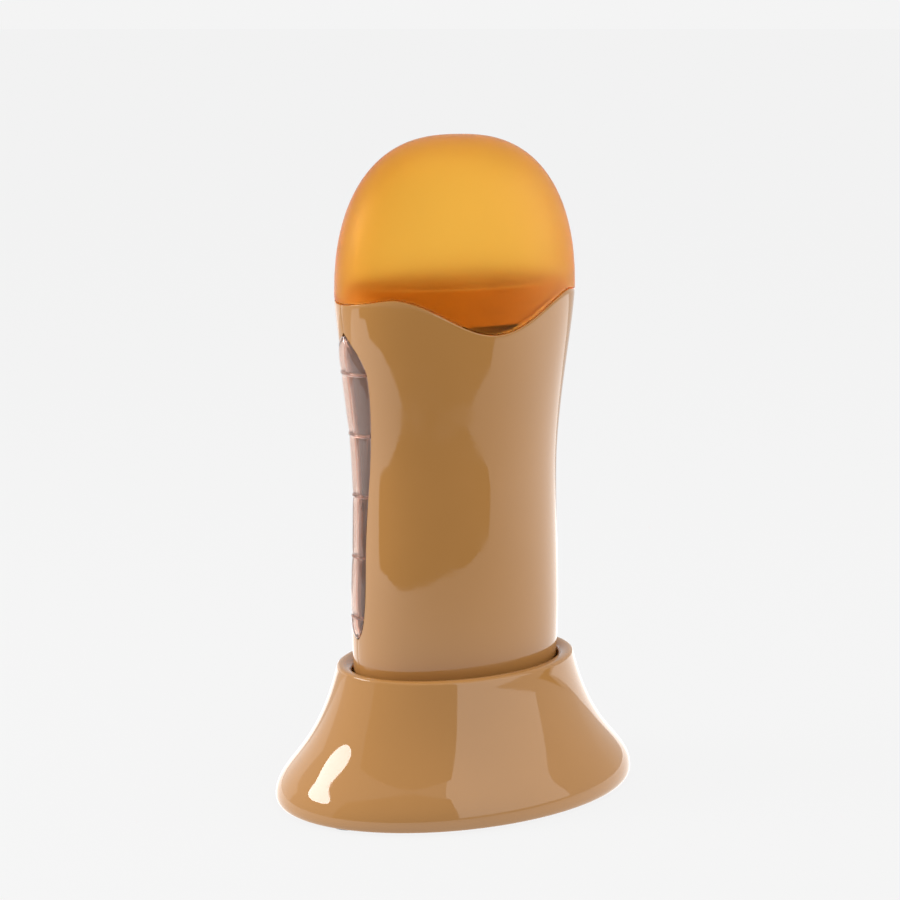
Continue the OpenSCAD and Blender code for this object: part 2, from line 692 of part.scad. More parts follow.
// The sleeve that the cartridge slides into, open to the heater plates and the level window
module bay_liner() color("peru") difference() {
  oval(bay_out_half_w, bay_out_half_d, rest_z, collar_low_z);
  oval(bay_half_w, bay_half_d, bay_z, crown_z);
  // Windows that the heater plates fill
  translate([-plate_w / 2 - fit_gap, -far / 2, plate_low_z - fit_gap])
    cube([plate_w + 2 * fit_gap, far, plate_h + 2 * fit_gap]);
  // Way for the rear plate's tail
  translate([-tail_w / 2 - fit_gap, bay_half_d + fit_gap / 2, rest_z - 1])
    cube([tail_w + 2 * fit_gap, far, plate_low_z - rest_z + 1]);
  // Slot behind the level window
  slot_side = 0.6;
  slot_rise = 8;
  slot_short = 14;
  translate([-far, -window_neck_w / 2 - slot_side, bay_z + slot_rise])
    cube([far, window_neck_w + 2 * slot_side, window_high - window_low - slot_short]);
}

// A low catch on the collar, a bar with two end ticks
module collar_snap(side) {
  bar_w = 6;
  bar_h = 0.7;
  tick_h = 2;
  snap_rise = 0.4 * collar_gap;
  snap_z = shoulder_z - 4;
  intersection() {
    oval(collar_half_w + snap_rise, collar_half_d + snap_rise, collar_low_z, collar_z);
    union() {
      translate([-bar_w / 2, -far, snap_z - bar_h / 2]) cube([bar_w, 2 * far, bar_h]);
      for (sx = [-1, 1])
        translate([sx * bar_w / 2 - bar_h / 2, -far, snap_z - tick_h / 2]) cube([bar_h, 2 * far, tick_h]);
    }
    translate([-far / 2, side > 0 ? 10 : -far - 10, 0]) cube([far, far, far]);
  }
}

// ---------- heater ----------

// A heater plate at the rear: flat outside, hollowed to the bay inside
module heater_plate() difference() {
  translate([-plate_w / 2, 0, plate_low_z]) cube([plate_w, land_y, plate_h]);
  oval(bay_half_w, bay_half_d, plate_low_z - 1, plate_low_z + plate_h + 1);
}
module heater_plate_front() color("lightgray") mirror([0, 1, 0]) heater_plate();
module heater_plate_rear() color("lightgray") {
  heater_plate();
  translate([-tail_w / 2, land_y - tail_t, tail_low_z]) cube([tail_w, tail_t, plate_low_z - tail_low_z + 1]);
}

module ptc_heater() translate([-ptc_w / 2, land_y, ptc_z]) cube([ptc_w, ptc_t, ptc_h]);
module ptc_heater_front() color("slategray") mirror([0, 1, 0]) ptc_heater();
module ptc_heater_rear() color("slategray") ptc_heater();

// A strap over a heating element, with a foot on the plate above and below it
module heater_clip() {
  low_z = ptc_z - clip_end;
  strap_h = ptc_h + 2 * clip_end;
  foot_t = clip_end / 2;
  // Half as wide, so that the leads pass beside it
  low_foot_w = clip_w / 2;
  translate([-clip_w / 2, ptc_y, low_z]) cube([clip_w, clip_t, strap_h]);
  translate([-clip_w / 2, land_y, low_z + strap_h - foot_t]) cube([clip_w, ptc_t, foot_t]);
  translate([-low_foot_w / 2, land_y, low_z]) cube([low_foot_w, ptc_t, foot_t]);
}
module heater_clip_front() color("silver") mirror([0, 1, 0]) heater_clip();
module heater_clip_rear() color("silver") heater_clip();

stat_size = [7.6, 3.8, 15];
stat_x = -tail_w / 4;
stat_low_z = tail_low_z + 1;
stat_top_z = stat_low_z + stat_size[2];
fuse_d = 4;
fuse_l = 11;
fuse_x = tail_w / 4;
tail_y = land_y - tail_t;                 // inner face of the tail
fuse_y = tail_y - fuse_d / 2;
fuse_low_z = tail_low_z + 3;
fuse_pin_d = 0.8;
fuse_pin_l = 2;
fuse_top_z = fuse_low_z + fuse_l + fuse_pin_l;

module thermostat() color("black")
  translate([stat_x - stat_size[0] / 2, tail_y - stat_size[1], stat_low_z]) cube(stat_size);

module thermal_fuse() color("white") translate([fuse_x, fuse_y, fuse_low_z]) {
  cylinder(d = fuse_d, h = fuse_l);
  translate([0, 0, -fuse_pin_l]) cylinder(d = fuse_pin_d, h = fuse_l + 2 * fuse_pin_l);
}

// ---------- handset foot ----------

module handset_bottom_cover() color("tan") difference() {
  union() {
    oval(lip_half_w - fit_gap, lip_half_d - fit_gap, foot_z, cover_flange_z + 0.2);
    oval(lip_half_w + cover_lip - 2 * fit_gap, lip_half_d + cover_lip - 2 * fit_gap,
      cover_flange_z, cover_flange_z + cover_flange_t);
  }
  for (sx = [-1, 1]) translate([sx * contact_x, 0, 0]) {
    cylinder(d = pad_d + 0.4, h = pad_z + pad_t);
    cylinder(d = pad_stem_d + 0.2, h = crown_z);
  }
}

module contact_pad(sx) color("gold") translate([sx * contact_x, 0, pad_z]) {
  cylinder(d = pad_d, h = pad_t);
  cylinder(d = pad_stem_d, h = pad_stem_top_z - pad_z);
}
module contact_pad_live() contact_pad(1);
module contact_pad_neutral() contact_pad(-1);

// ---------- leads, by points chosen along their ways ----------

lead_r = lead_d / 2;
lead_gap = 0.2;                           // between a lead's end and what it serves
lead_start_l = 1;                         // a lead's straight first stretch
lead_out_y = land_y + ptc_t / 2;          // middle of a lead, between a heater plate and its clip
lead_top_z = ptc_z - lead_gap;
stem_end = [contact_x, 0, pad_stem_top_z + lead_r];
stat_mid_y = tail_y - stat_size[1] / 2;
under_tail_z = tail_low_z - lead_r - 0.8;

module lead_feed() color("firebrick") lead(smooth([
  [stem_end[0], 0, stem_end[2] + lead_gap],
  [stem_end[0] - 4, 3, stem_end[2] + 1.2],
  [stat_x + 3, stat_mid_y - 4, stat_low_z - 4.4],
  [stat_x, stat_mid_y - 0.6, stat_low_z - 2.6],
  [stat_x, stat_mid_y, stat_low_z - lead_gap - lead_start_l],
  [stat_x, stat_mid_y, stat_low_z - lead_gap]
]));

module lead_bridge() color("firebrick") lead(smooth([
  [stat_x, stat_mid_y, stat_top_z + lead_gap],
  [stat_x, stat_mid_y, stat_top_z + lead_gap + lead_start_l],
  [stat_x + 1.4, stat_mid_y, stat_top_z + 2.4],
  [fuse_x - 1.6, fuse_y, stat_top_z + 2.8],
  [fuse_x, fuse_y, fuse_top_z + lead_gap + lead_start_l],
  [fuse_x, fuse_y, fuse_top_z + lead_gap]
]));

// From the fuse, under the tail and up outside it
module lead_live_rear() color("firebrick") lead(smooth([
  [fuse_x, fuse_y, fuse_low_z - fuse_pin_l - lead_gap],
  [fuse_x, fuse_y + 0.4, under_tail_z + 0.2],
  [fuse_x - 0.5, land_y + 0.4, under_tail_z - 0.1],
  [fuse_x - 0.8, lead_out_y, tail_low_z + 2],
  [fuse_x - 0.8, lead_out_y, (tail_low_z + plate_low_z) / 2],
  [fuse_x - 0.8, lead_out_y, lead_top_z]
]));

module lead_live_front() color("firebrick") lead(smooth([
  [fuse_x + 1.6, fuse_y - 1.2, fuse_low_z - fuse_pin_l - 0.6],
  [fuse_x + 3, 2, tail_low_z + 1],
  [fuse_x + 1, -10, rest_z - 10],
  [fuse_x, -lead_out_y + 0.6, rest_z - 4],
  [fuse_x - 0.8, -lead_out_y, rest_z + 2],
  [fuse_x - 0.8, -lead_out_y, lead_top_z]
]));

module lead_neutral_rear() color("midnightblue") lead(smooth([
  [-contact_x, 0, stem_end[2] + lead_gap],
  [-contact_x + 2, 6, stem_end[2] + 0.3],
  [stat_x - 2, tail_y - 2, under_tail_z - 0.3],
  [-fuse_x + 0.5, land_y + 0.4, under_tail_z - 0.1],
  [-fuse_x + 0.8, lead_out_y, tail_low_z + 2],
  [-fuse_x + 0.8, lead_out_y, (tail_low_z + plate_low_z) / 2],
  [-fuse_x + 0.8, lead_out_y, lead_top_z]
]));

module lead_neutral_front() color("midnightblue") lead(smooth([
  [-contact_x - 0.4, -lead_d - 0.3, stem_end[2]],
  [-contact_x + 1, -6, stem_end[2] + 4],
  [-fuse_x - 2, -bay_half_d + 2, rest_z - 10],
  [-fuse_x, -lead_out_y + 0.6, rest_z - 4],
  [-fuse_x + 0.8, -lead_out_y, rest_z + 2],
  [-fuse_x + 0.8, -lead_out_y, lead_top_z]
]));

// ---------- cap ----------

module cap_shell() color("orange", 0.6) in_halves() difference() {
  turned(grip_ratio) polygon(concat(
    [[0, foot_z + waist_rise]], [for (p = grip_curve) if (p[1] > waist_z + 10) p],
    dome_curve(shoulder_w / 2, shoulder_z, crown_rise)));
  turned(inset_ratio(shoulder_w / 2, grip_ratio, cap_wall)) polygon(concat(
    [[0, waist_z - 1], [shoulder_w / 2 - cap_wall, waist_z - 1]],
    dome_curve(shoulder_w / 2 - cap_wall, shoulder_z, crown_rise - cap_wall)));
  seam_side(seam_gap / 2, false);
}

base_shell();
base_bottom_plate();
rubber_feet();
base_screws();
cord_gland();
terminal_block();
terminal_screws();
contact_carrier();
carrier_screws();
contact_strip_live();
contact_strip_neutral();
contact_pin_live();
contact_pin_neutral();
contact_spring_live();
contact_spring_neutral();
front_shell();
rear_shell();
housing_screws();
window_lens();
bay_liner();
cap_collar();
heater_plate_front();
heater_plate_rear();
ptc_heater_front();
ptc_heater_rear();
heater_clip_front();
heater_clip_rear();
thermostat();
thermal_fuse();
handset_bottom_cover();
contact_pad_live();
contact_pad_neutral();
lead_feed();
lead_bridge();
lead_live_front();
lead_live_rear();
lead_neutral_front();
lead_neutral_rear();
cap_shell();
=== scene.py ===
# %% [markdown]
# # A roll-on wax heater in its dock
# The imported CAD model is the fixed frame: it says where every solid is, how large it is and how
# it moves. This file dresses that frame. It models the large visible mouldings again with smooth
# surfaces and rounded edges, gives every part a finish, and sets a camera and studio lights.

# %% Load the frame
import math

import bmesh
import bpy
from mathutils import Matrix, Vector


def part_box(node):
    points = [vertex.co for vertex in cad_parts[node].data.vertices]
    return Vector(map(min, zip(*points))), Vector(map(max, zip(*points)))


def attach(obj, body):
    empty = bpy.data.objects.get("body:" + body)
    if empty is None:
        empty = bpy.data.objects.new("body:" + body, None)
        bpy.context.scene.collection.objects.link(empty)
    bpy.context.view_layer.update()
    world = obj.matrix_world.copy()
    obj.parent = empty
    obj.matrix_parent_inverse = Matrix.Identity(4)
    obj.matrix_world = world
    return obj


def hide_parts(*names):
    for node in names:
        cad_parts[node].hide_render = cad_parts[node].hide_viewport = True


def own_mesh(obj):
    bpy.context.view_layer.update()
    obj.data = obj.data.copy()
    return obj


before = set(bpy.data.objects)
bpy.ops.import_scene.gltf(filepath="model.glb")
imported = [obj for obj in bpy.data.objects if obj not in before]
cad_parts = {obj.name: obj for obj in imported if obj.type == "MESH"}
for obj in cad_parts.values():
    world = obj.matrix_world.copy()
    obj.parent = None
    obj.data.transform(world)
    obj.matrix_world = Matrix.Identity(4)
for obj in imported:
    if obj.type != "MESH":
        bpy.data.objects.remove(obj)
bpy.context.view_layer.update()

# %% [markdown]
# ## Sizes
# The sizes are the CAD's own, in millimetres, turned to metres once here. A cubic curve with
# four control points draws each profile, so the same numbers give the same shape as the solids,
# only with more and finer steps.

# %% Named sizes
MM = 0.001
foot_z, hip_z, waist_z, shoulder_z, crown_z = (v * MM for v in (14, 52, 93, 146.4, 189.6))
foot_r, hip_r, waist_r, shoulder_r = (v * MM for v in (30.3, 32.5, 31.6, 37))
grip_ratio = 39.2 / 63.2
dome_square, dome_flat = 2.54, 2.21
tongue_drop, tongue_half_w, side_drop = 10.6 * MM, 29 * MM, 2.1 * MM
seam_gap = 0.4 * MM
columns = 144


def cubic(p, count):
    """Points on the cubic curve with control points p, as pairs."""
    made = []
    for i in range(count + 1):
        t = i / count
        u = 1 - t
        w = (u * u * u, 3 * u * u * t, 3 * u * t * t, t * t * t)
        made.append(tuple(sum(w[k] * p[k][axis] for k in range(4)) for axis in (0, 1)))
    return made


# %% [markdown]
# Seen from the front, the grip swells at the hip, draws in at the waist and widens to the
# shoulder, and the cap closes it with a dome. The grip is three cubic curves end to end. The
# dome is a superellipse, because its shoulders are squarer than a circle's.

# %% The handset's profile, as pairs of half width and height
rise = (hip_z - foot_z, waist_z - hip_z, shoulder_z - waist_z)
lower = cubic([(foot_r, foot_z), (foot_r + 0.35 * (hip_r - foot_r), foot_z + 0.3 * rise[0]),
               (hip_r, hip_z - 0.35 * rise[0]), (hip_r, hip_z)], 14)
middle = cubic([(hip_r, hip_z), (hip_r, hip_z + 0.35 * rise[1]),
                (waist_r, waist_z - 0.35 * rise[1]), (waist_r, waist_z)], 16)
upper = cubic([(waist_r, waist_z), (waist_r, waist_z + 0.38 * rise[2]),
               (shoulder_r, shoulder_z - 0.19 * rise[2]), (shoulder_r, shoulder_z)], 26)
grip_profile = lower + middle[1:] + upper[1:]
dome_profile = []
dome_steps, last_turn, crowding = 36, 88.5, 0.9
for step in range(1, dome_steps + 1):
    turn = math.radians(last_turn * math.sin(math.radians(90 * step / dome_steps)) ** crowding)
    dome_profile.append((shoulder_r * math.cos(turn) ** (2 / dome_square),
                         shoulder_z + (crown_z - shoulder_z) * math.sin(turn) ** (2 / dome_flat)))
print(len(grip_profile), "levels up to the shoulder and", len(dome_profile), "above it")

# %% [markdown]
# ## Working by hand, in code
# Each piece starts as a primitive at its size and place. Three small helpers stand for what a
# hand does: open one piece in edit mode, pick what lies where, and leave edit mode again.


# %% Helpers for edit mode
def open_piece(piece):
    """Makes piece the only selected object and opens it in edit mode with nothing picked."""
    if bpy.context.object and bpy.context.object.mode != "OBJECT":
        bpy.ops.object.mode_set(mode="OBJECT")
    bpy.ops.object.select_all(action="DESELECT")
    bpy.context.view_layer.objects.active = piece
    piece.select_set(True)
    bpy.ops.object.mode_set(mode="EDIT")
    bpy.ops.mesh.select_all(action="DESELECT")


def pick(piece, kind, test):
    """Selects the vertices, edges or faces of the open piece for which test is true."""
    mesh = bmesh.from_edit_mesh(piece.data)
    bpy.ops.mesh.select_all(action="DESELECT")
    bpy.context.tool_settings.mesh_select_mode = (kind == "VERT", kind == "EDGE", kind == "FACE")
    parts = {"VERT": mesh.verts, "EDGE": mesh.edges, "FACE": mesh.faces}[kind]
    for part in parts:
        if test(part):
            part.select_set(True)
    mesh.select_flush_mode()
    bmesh.update_edit_mesh(piece.data)


def close_piece(piece, angle=35):
    """Leaves edit mode and shades the piece smooth, with creases only where it turns sharply."""
    bpy.ops.object.mode_set(mode="OBJECT")
    bpy.ops.object.select_all(action="DESELECT")
    bpy.context.view_layer.objects.active = piece
    piece.select_set(True)
    bpy.ops.object.transform_apply(location=True, rotation=True, scale=True)
    bpy.ops.object.shade_smooth_by_angle(angle=math.radians(angle))


# %% [markdown]
# Most of this object is a stack of ovals. A circle is the first one. Extruding its edge and then
# scaling the new edge gives the next, so a list of half width, half depth and height draws a
# whole moulding.


# %% A stack of ovals
def ring_stack(name, levels, count=columns, close_top=False):
    """A sheet through the ovals in levels, each (half width, half depth, height)."""
    bpy.ops.object.select_all(action="DESELECT")
    a, b, z = levels[0]
    bpy.ops.mesh.primitive_circle_add(vertices=count, radius=a, fill_type="NOTHING",
                                      location=(0, 0, z), rotation=(0, 0, math.pi / 2))
    piece = bpy.context.object
    piece.name = piece.data.name = name
    bpy.ops.object.transform_apply(location=True, rotation=True, scale=True)
    open_piece(piece)
    bpy.ops.mesh.select_all(action="SELECT")
    bpy.ops.transform.resize(value=(1, b / a, 1), center_override=(0, 0, z))
    for next_a, next_b, next_z in levels[1:]:
        bpy.ops.mesh.extrude_edges_move(TRANSFORM_OT_translate={"value": (0, 0, next_z - z)})
        bpy.ops.transform.resize(value=(next_a / a, next_b / b, 1),
                                 center_override=(0, 0, next_z))
        a, b, z = next_a, next_b, next_z
    if close_top:
        bpy.ops.mesh.merge(type="CENTER")
    bpy.ops.mesh.select_all(action="SELECT")
    bpy.ops.mesh.normals_make_consistent(inside=False)
    return piece


skin = ring_stack("skin_guide",
                  [(r, r * grip_ratio, z) for r, z in grip_profile + dome_profile],
                  close_top=True)
close_piece(skin)
print("guide surface of the handset:", len(skin.data.polygons), "faces")

# %% [markdown]
# ## Shells and cap
# The real handset is two half shells with a cap over them, and one smooth surface runs over all
# three. So all three are copied from the guide surface, and cut along the wavy seam. To follow
# the seam, each column of points near it is stretched until its last point lies on the seam.
# Then the points are laid back on the guide with a Shrinkwrap modifier, which keeps the surface
# perfectly continuous across the joint, as it is on the real moulding.


# %% The seam
bell_power, side_power = 1.7, 1.5


def seam_height(x):
    """Height of the seam at x: a bell in the middle, and a small drop towards each side."""
    x = abs(x)
    bell = math.cos(math.pi / 2 * x / tongue_half_w) ** bell_power if x < tongue_half_w else 0
    start = tongue_half_w - MM
    side = max(0, x - start) / (shoulder_r - start)
    return shoulder_z - tongue_drop * bell - side_drop * min(side, 1) ** side_power


def column_of(co):
    """Which column a point of the skin is in."""
    return round(math.atan2(co.y / grip_ratio, co.x) / (2 * math.pi / columns)) % columns


def stretch_to_seam(piece, fixed_z, edge_z, shift):
    """Stretches each column between fixed_z and edge_z so that the edge lies on the seam."""
    open_piece(piece)
    above = edge_z < fixed_z
    half_way = columns // 2
    for k in range(columns // 4 + 1):
        same = {k % columns, -k % columns, (half_way - k) % columns, (half_way + k) % columns}
        goal = seam_height(shoulder_r * math.cos(2 * math.pi * k / columns)) + shift
        pick(piece, "VERT", lambda v: column_of(v.co) in same
             and (v.co.z < fixed_z if above else v.co.z > fixed_z))
        bpy.ops.transform.resize(value=(1, 1, (goal - fixed_z) / (edge_z - fixed_z)),
                                 center_override=(0, 0, fixed_z))
    close_piece(piece)


def copy_piece(piece, name):
    """A copy of piece with its own mesh."""
    bpy.ops.object.select_all(action="DESELECT")
    twin = piece.copy()
    twin.data = piece.data.copy()
    twin.name = twin.data.name = name
    bpy.context.collection.objects.link(twin)
    return twin


def apply_modifiers(piece):
    """Applies every modifier of piece in turn."""
    bpy.ops.object.select_all(action="DESELECT")
    bpy.context.view_layer.objects.active = piece
    piece.select_set(True)
    for modifier in list(piece.modifiers):
        bpy.ops.object.modifier_apply(modifier=modifier.name)


def lay_on_skin(piece):
    """Lays the points of piece on the guide surface."""
    wrap = piece.modifiers.new("lay", "SHRINKWRAP")
    wrap.target = skin
    wrap.wrap_method = "NEAREST_SURFACEPOINT"
    apply_modifiers(piece)


# %% [markdown]
# A moulded wall has one thickness and small rounded edges. Solidify gives the thickness inward
# from the outer surface, and Bevel rounds every edge sharper than its limit. The tiny radius
# matters: it is what draws the thin bright line along the lip of the cap.


# %% Walls and rounded edges
def give_wall(piece, thickness, edge_radius, segments=3):
    """Turns a sheet into a moulded wall with rounded edges."""
    wall = piece.modifiers.new("wall", "SOLIDIFY")
    wall.thickness, wall.offset, wall.use_even_offset = thickness, -1, True
    edge = piece.modifiers.new("edge", "BEVEL")
    edge.width, edge.segments, edge.limit_method = edge_radius, segments, "ANGLE"
    edge.angle_limit = math.radians(50)
    edge.use_clamp_overlap = True
    edge.harden_normals = False
    apply_modifiers(piece)


# %% [markdown]
# The cap is one frosted moulding. It keeps the skin's upper rows, and a few rows below the
# shoulder as stock. Stretching the stock down or up to the seam makes the cap's wavy lower edge.

# %% The cap
cap_wall, cap_edge = 2.4 * MM, 0.35 * MM
cap_low_z, cap_fixed_z = grip_profile[-7][1], dome_profile[6][1]
cap = copy_piece(skin, "cap")
open_piece(cap)
pick(cap, "VERT", lambda v: v.co.z < cap_low_z - 1e-5)
bpy.ops.mesh.delete(type="VERT")
stretch_to_seam(cap, cap_fixed_z, cap_low_z, seam_gap / 2)
lay_on_skin(cap)
give_wall(cap, cap_wall, cap_edge)
close_piece(cap)
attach(cap, "cap")
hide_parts("cap_shell")
print("cap:", len(cap.data.polygons), "faces, lowest at",
      round(min(v.co.z for v in cap.data.vertices) / MM, 2), "mm")

# %% [markdown]
# The lower moulding is split along its two narrow sides into a front and a rear shell. The
# foot turns inward to a lip that holds the bottom cover.

# %% The surface of both shells
lip_w, foot_round = 3 * MM, 0.8 * MM
shell_fixed_z = grip_profile[-12][1]
body = copy_piece(skin, "shell_guide")
open_piece(body)
pick(body, "VERT", lambda v: v.co.z > shoulder_z + 1e-5)
bpy.ops.mesh.delete(type="VERT")
stretch_to_seam(body, shell_fixed_z, shoulder_z, -seam_gap / 2)
lay_on_skin(body)
open_piece(body)
pick(body, "EDGE", lambda e: all(v.co.z < foot_z + 1e-5 for v in e.verts))
bpy.ops.transform.translate(value=(0, 0, foot_round))
a, b, z = foot_r, foot_r * grip_ratio, foot_z + foot_round
for turn_deg in (30, 60, 90):
    turn = math.radians(turn_deg)
    inward = foot_round * (1 - math.cos(turn))
    next_z = foot_z + foot_round * (1 - math.sin(turn))
    next_a, next_b = foot_r - inward, foot_r * grip_ratio - inward
    bpy.ops.mesh.extrude_edges_move(TRANSFORM_OT_translate={"value": (0, 0, next_z - z)})
    bpy.ops.transform.resize(value=(next_a / a, next_b / b, 1), center_override=(0, 0, next_z))
    a, b, z = next_a, next_b, next_z
lip_a, lip_b = foot_r - lip_w, foot_r * grip_ratio - lip_w
bpy.ops.mesh.extrude_edges_move(TRANSFORM_OT_translate={"value": (0, 0, 0)})
bpy.ops.transform.resize(value=(lip_a / a, lip_b / b, 1), center_override=(0, 0, z))
bpy.ops.mesh.select_all(action="SELECT")
bpy.ops.mesh.normals_make_consistent(inside=False)
close_piece(body)


# %% [markdown]
# Both shells come from that one surface, so they meet without a step. Each copy loses the faces
# of the other half and then gets its wall. The small rounded edge along the cut draws the
# parting line on the narrow sides.


# %% Front and rear shell
shell_wall, shell_edge = 1.8 * MM, 0.18 * MM


def half_shell(name, node, side):
    """One shell: side is -1 at the front and 1 at the rear."""
    piece = copy_piece(body, name)
    open_piece(piece)
    pick(piece, "FACE", lambda f: f.calc_center_median().y * side < 0)
    bpy.ops.mesh.delete(type="FACE")
    bpy.ops.object.mode_set(mode="OBJECT")
    give_wall(piece, shell_wall, shell_edge, 2)
    close_piece(piece)
    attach(piece, "handset")
    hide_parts(node)
    print(name, len(piece.data.polygons), "faces")
    return piece


shell_front = half_shell("shell_front", "front_shell", -1)
shell_rear = half_shell("shell_rear", "rear_shell", 1)

# %% [markdown]
# ## Level window
# The window is a long clear moulding let into the left narrow side. Seen from the side it is a
# pointed arch that narrows downward, and cross ribs pinch it into pillows, a bit like bamboo.
# A cutter with the same outline opens both shells first.

# %% The window's outline, as pairs of half width and height
window_low, window_high = 48.4 * MM, 136.4 * MM
span = window_high - window_low
wide_z = window_high - 0.14 * span
neck_z = window_low + 0.3 * span
half_w, half_neck = 7 * MM, 3.5 * MM
outline = (
    cubic([(0, window_low), (half_neck, window_low + 0.02 * span),
           (half_neck + 0.6 * MM, window_low + 0.1 * span), (half_neck, neck_z)], 14)
    + cubic([(half_neck, neck_z), (half_neck, neck_z + 0.22 * span),
             (half_w, wide_z - 0.16 * span), (half_w, wide_z)], 24)[1:]
    + cubic([(half_w, wide_z), (half_w, wide_z + 0.07 * span),
             (MM, window_high - 0.01 * span), (0, window_high)], 14)[1:])


def outline_half(z):
    """Half the window's width at height z."""
    for (y0, z0), (y1, z1) in zip(outline, outline[1:]):
        if z0 <= z <= z1 and z1 > z0:
            return y0 + (y1 - y0) * (z - z0) / (z1 - z0)
    return 0.0


# %% [markdown]
# The outline crosses the parting line, so each shell gets half of the opening. The cutter is
# drawn point by point with Extrude and filled, and a Boolean modifier takes it out of both
# shells. One cutter for two shells means that the halves of the opening meet exactly.


# %% Cut the window out of both shells
def drawn_block(name, points, depth, start_x):
    """A block whose outline is drawn point by point in the YZ plane and then extruded along X."""
    bpy.ops.object.select_all(action="DESELECT")
    bpy.ops.mesh.primitive_plane_add(size=MM, location=(0, 0, 0))
    piece = bpy.context.object
    piece.name = piece.data.name = name
    open_piece(piece)
    bpy.ops.mesh.select_mode(type="VERT")
    bpy.ops.mesh.select_all(action="SELECT")
    bpy.ops.mesh.merge(type="CENTER")
    bpy.ops.transform.translate(value=(start_x, points[0][0], points[0][1]))
    for (y0, z0), (y1, z1) in zip(points, points[1:]):
        bpy.ops.mesh.extrude_vertices_move(TRANSFORM_OT_translate={"value": (0, y1 - y0, z1 - z0)})
    bpy.ops.mesh.select_all(action="SELECT")
    bpy.ops.mesh.remove_doubles(threshold=1e-5)
    bpy.ops.mesh.edge_face_add()
    bpy.ops.mesh.select_all(action="SELECT")
    bpy.ops.mesh.extrude_region_move(TRANSFORM_OT_translate={"value": (depth, 0, 0)})
    bpy.ops.mesh.select_all(action="SELECT")
    bpy.ops.mesh.normals_make_consistent(inside=False)
    close_piece(piece)
    return piece


def carve(piece, tool, operation="DIFFERENCE", keep_tool=False):
    """Cuts tool out of piece, or joins it on."""
    cut = piece.modifiers.new("cut", "BOOLEAN")
    cut.object, cut.operation, cut.solver = tool, operation, "EXACT"
    print("carving", piece.name, "with", tool.name, len(tool.data.polygons), "faces")
    apply_modifiers(piece)
    if not keep_tool:
        bpy.data.objects.remove(tool)


closed_outline = outline + [(-y, z) for y, z in reversed(outline[1:-1])] + [outline[0]]
cutter = drawn_block("window_cutter", closed_outline, 18 * MM, -42 * MM)
carve(shell_front, cutter, keep_tool=True)
carve(shell_rear, cutter)
for shell in (shell_front, shell_rear):
    open_piece(shell)
    close_piece(shell)
print("window open,", len(shell_front.data.polygons), "faces in the front shell")

# %% [markdown]
# The lens is a grid in the window's plane. Each row is scaled to the outline's width, the whole
# grid is laid on the guide surface, and the rows are pushed out to a crown, a little more
# between the ribs, so that each segment swells like a pillow.

# %% The clear lens
low_tip, rib_pitch, rib_count = 7 * MM, 17.375 * MM, 5
rib_z = [window_low + low_tip + i * rib_pitch for i in range(rib_count)]
lens_rows, lens_cols = 176, 14
gap, tip_half, tip_gap = 0.2 * MM, 0.15 * MM, 0.5 * MM
beside_x = -36 * MM
low, high = window_low + tip_gap, window_high - tip_gap


def lens_half(z):
    """Half the lens's width at height z."""
    return max(outline_half(z) - gap, tip_half)


bpy.ops.object.select_all(action="DESELECT")
bpy.ops.mesh.primitive_grid_add(x_subdivisions=lens_rows, y_subdivisions=lens_cols, size=1,
                                location=(beside_x, 0, (low + high) / 2),
                                rotation=(0, -math.pi / 2, 0))
lens = bpy.context.object
lens.name = lens.data.name = "lens"
bpy.ops.object.transform_apply(location=True, rotation=True, scale=True)
open_piece(lens)
bpy.ops.mesh.select_all(action="SELECT")
bpy.ops.transform.resize(value=(1, 1, high - low), center_override=(0, 0, (low + high) / 2))
heights = sorted({round(v.co.z, 7) for v in bmesh.from_edit_mesh(lens.data).verts})
for z in heights:
    pick(lens, "VERT", lambda v: abs(v.co.z - z) < 1e-6)
    bpy.ops.transform.resize(value=(1, 2 * lens_half(z), 1), center_override=(0, 0, z))
close_piece(lens)
wrap = lens.modifiers.new("lay", "SHRINKWRAP")
wrap.target, wrap.wrap_method = skin, "PROJECT"
wrap.use_project_x, wrap.use_positive_direction, wrap.use_negative_direction = True, True, False
apply_modifiers(lens)

# %% [markdown]
# A clear part with a flat face looks like a sticker, so the real one stands out a little from
# the shells. The crown is made row by row: all points nearer the middle than a ring move out by
# one small step, then all nearer than the next ring, until the row is round.

# %% Crown the lens, and swell it a little more between its ribs
marks = [low] + rib_z + [high]
lens_crown, pillow, full_width = 0.95 * MM, 0.4 * MM, 2.5 * MM


def crown(y, wide, height):
    """How far a rounded strip stands out at y, from height in its middle to 0 at its edge."""
    return height * math.sqrt(max(0.0, 1 - (y / wide) ** 2))


def swell_rows(piece, rows, cols, wide_at, height_at):
    """Pushes each row of piece outward to a crown, from the edge to the middle ring by ring."""
    open_piece(piece)
    for z in rows:
        wide, height = wide_at(z), height_at(z)
        for ring in range(1, cols // 2 + 1):
            inner = wide * ring / (cols / 2)
            step = (crown(wide * (ring - 1) / (cols / 2), wide, height)
                    - crown(inner, wide, height))
            pick(piece, "VERT", lambda v: abs(v.co.z - z) < 1e-6 and abs(v.co.y) < inner - 1e-6)
            bpy.ops.transform.translate(value=(-step, 0, 0))
    close_piece(piece)


def lens_height(z):
    """The crown's height: its own share everywhere, and the pillow's share between the ribs."""
    k = min(sum(mark <= z + 1e-6 for mark in marks) - 1, len(marks) - 2)
    share = (z - marks[k]) / (marks[k + 1] - marks[k])
    end = min(1.0, lens_half(z) / full_width)
    return end * (lens_crown + pillow * max(0.0, 1 - abs(2 * share - 1) ** 4))


swell_rows(lens, heights, lens_cols, lens_half, lens_height)
print("lens:", len(lens.data.polygons), "faces")

# %% [markdown]
# Each rib is a narrow bar with a round back that lies over the lens nearly from edge to edge. It
# is made as the lens is: a small grid, laid on the guide surface and crowned, with its middle
# rows raised. The finished bar is then joined to the lens, which leaves the pair of fine lines
# that shows at each rib.

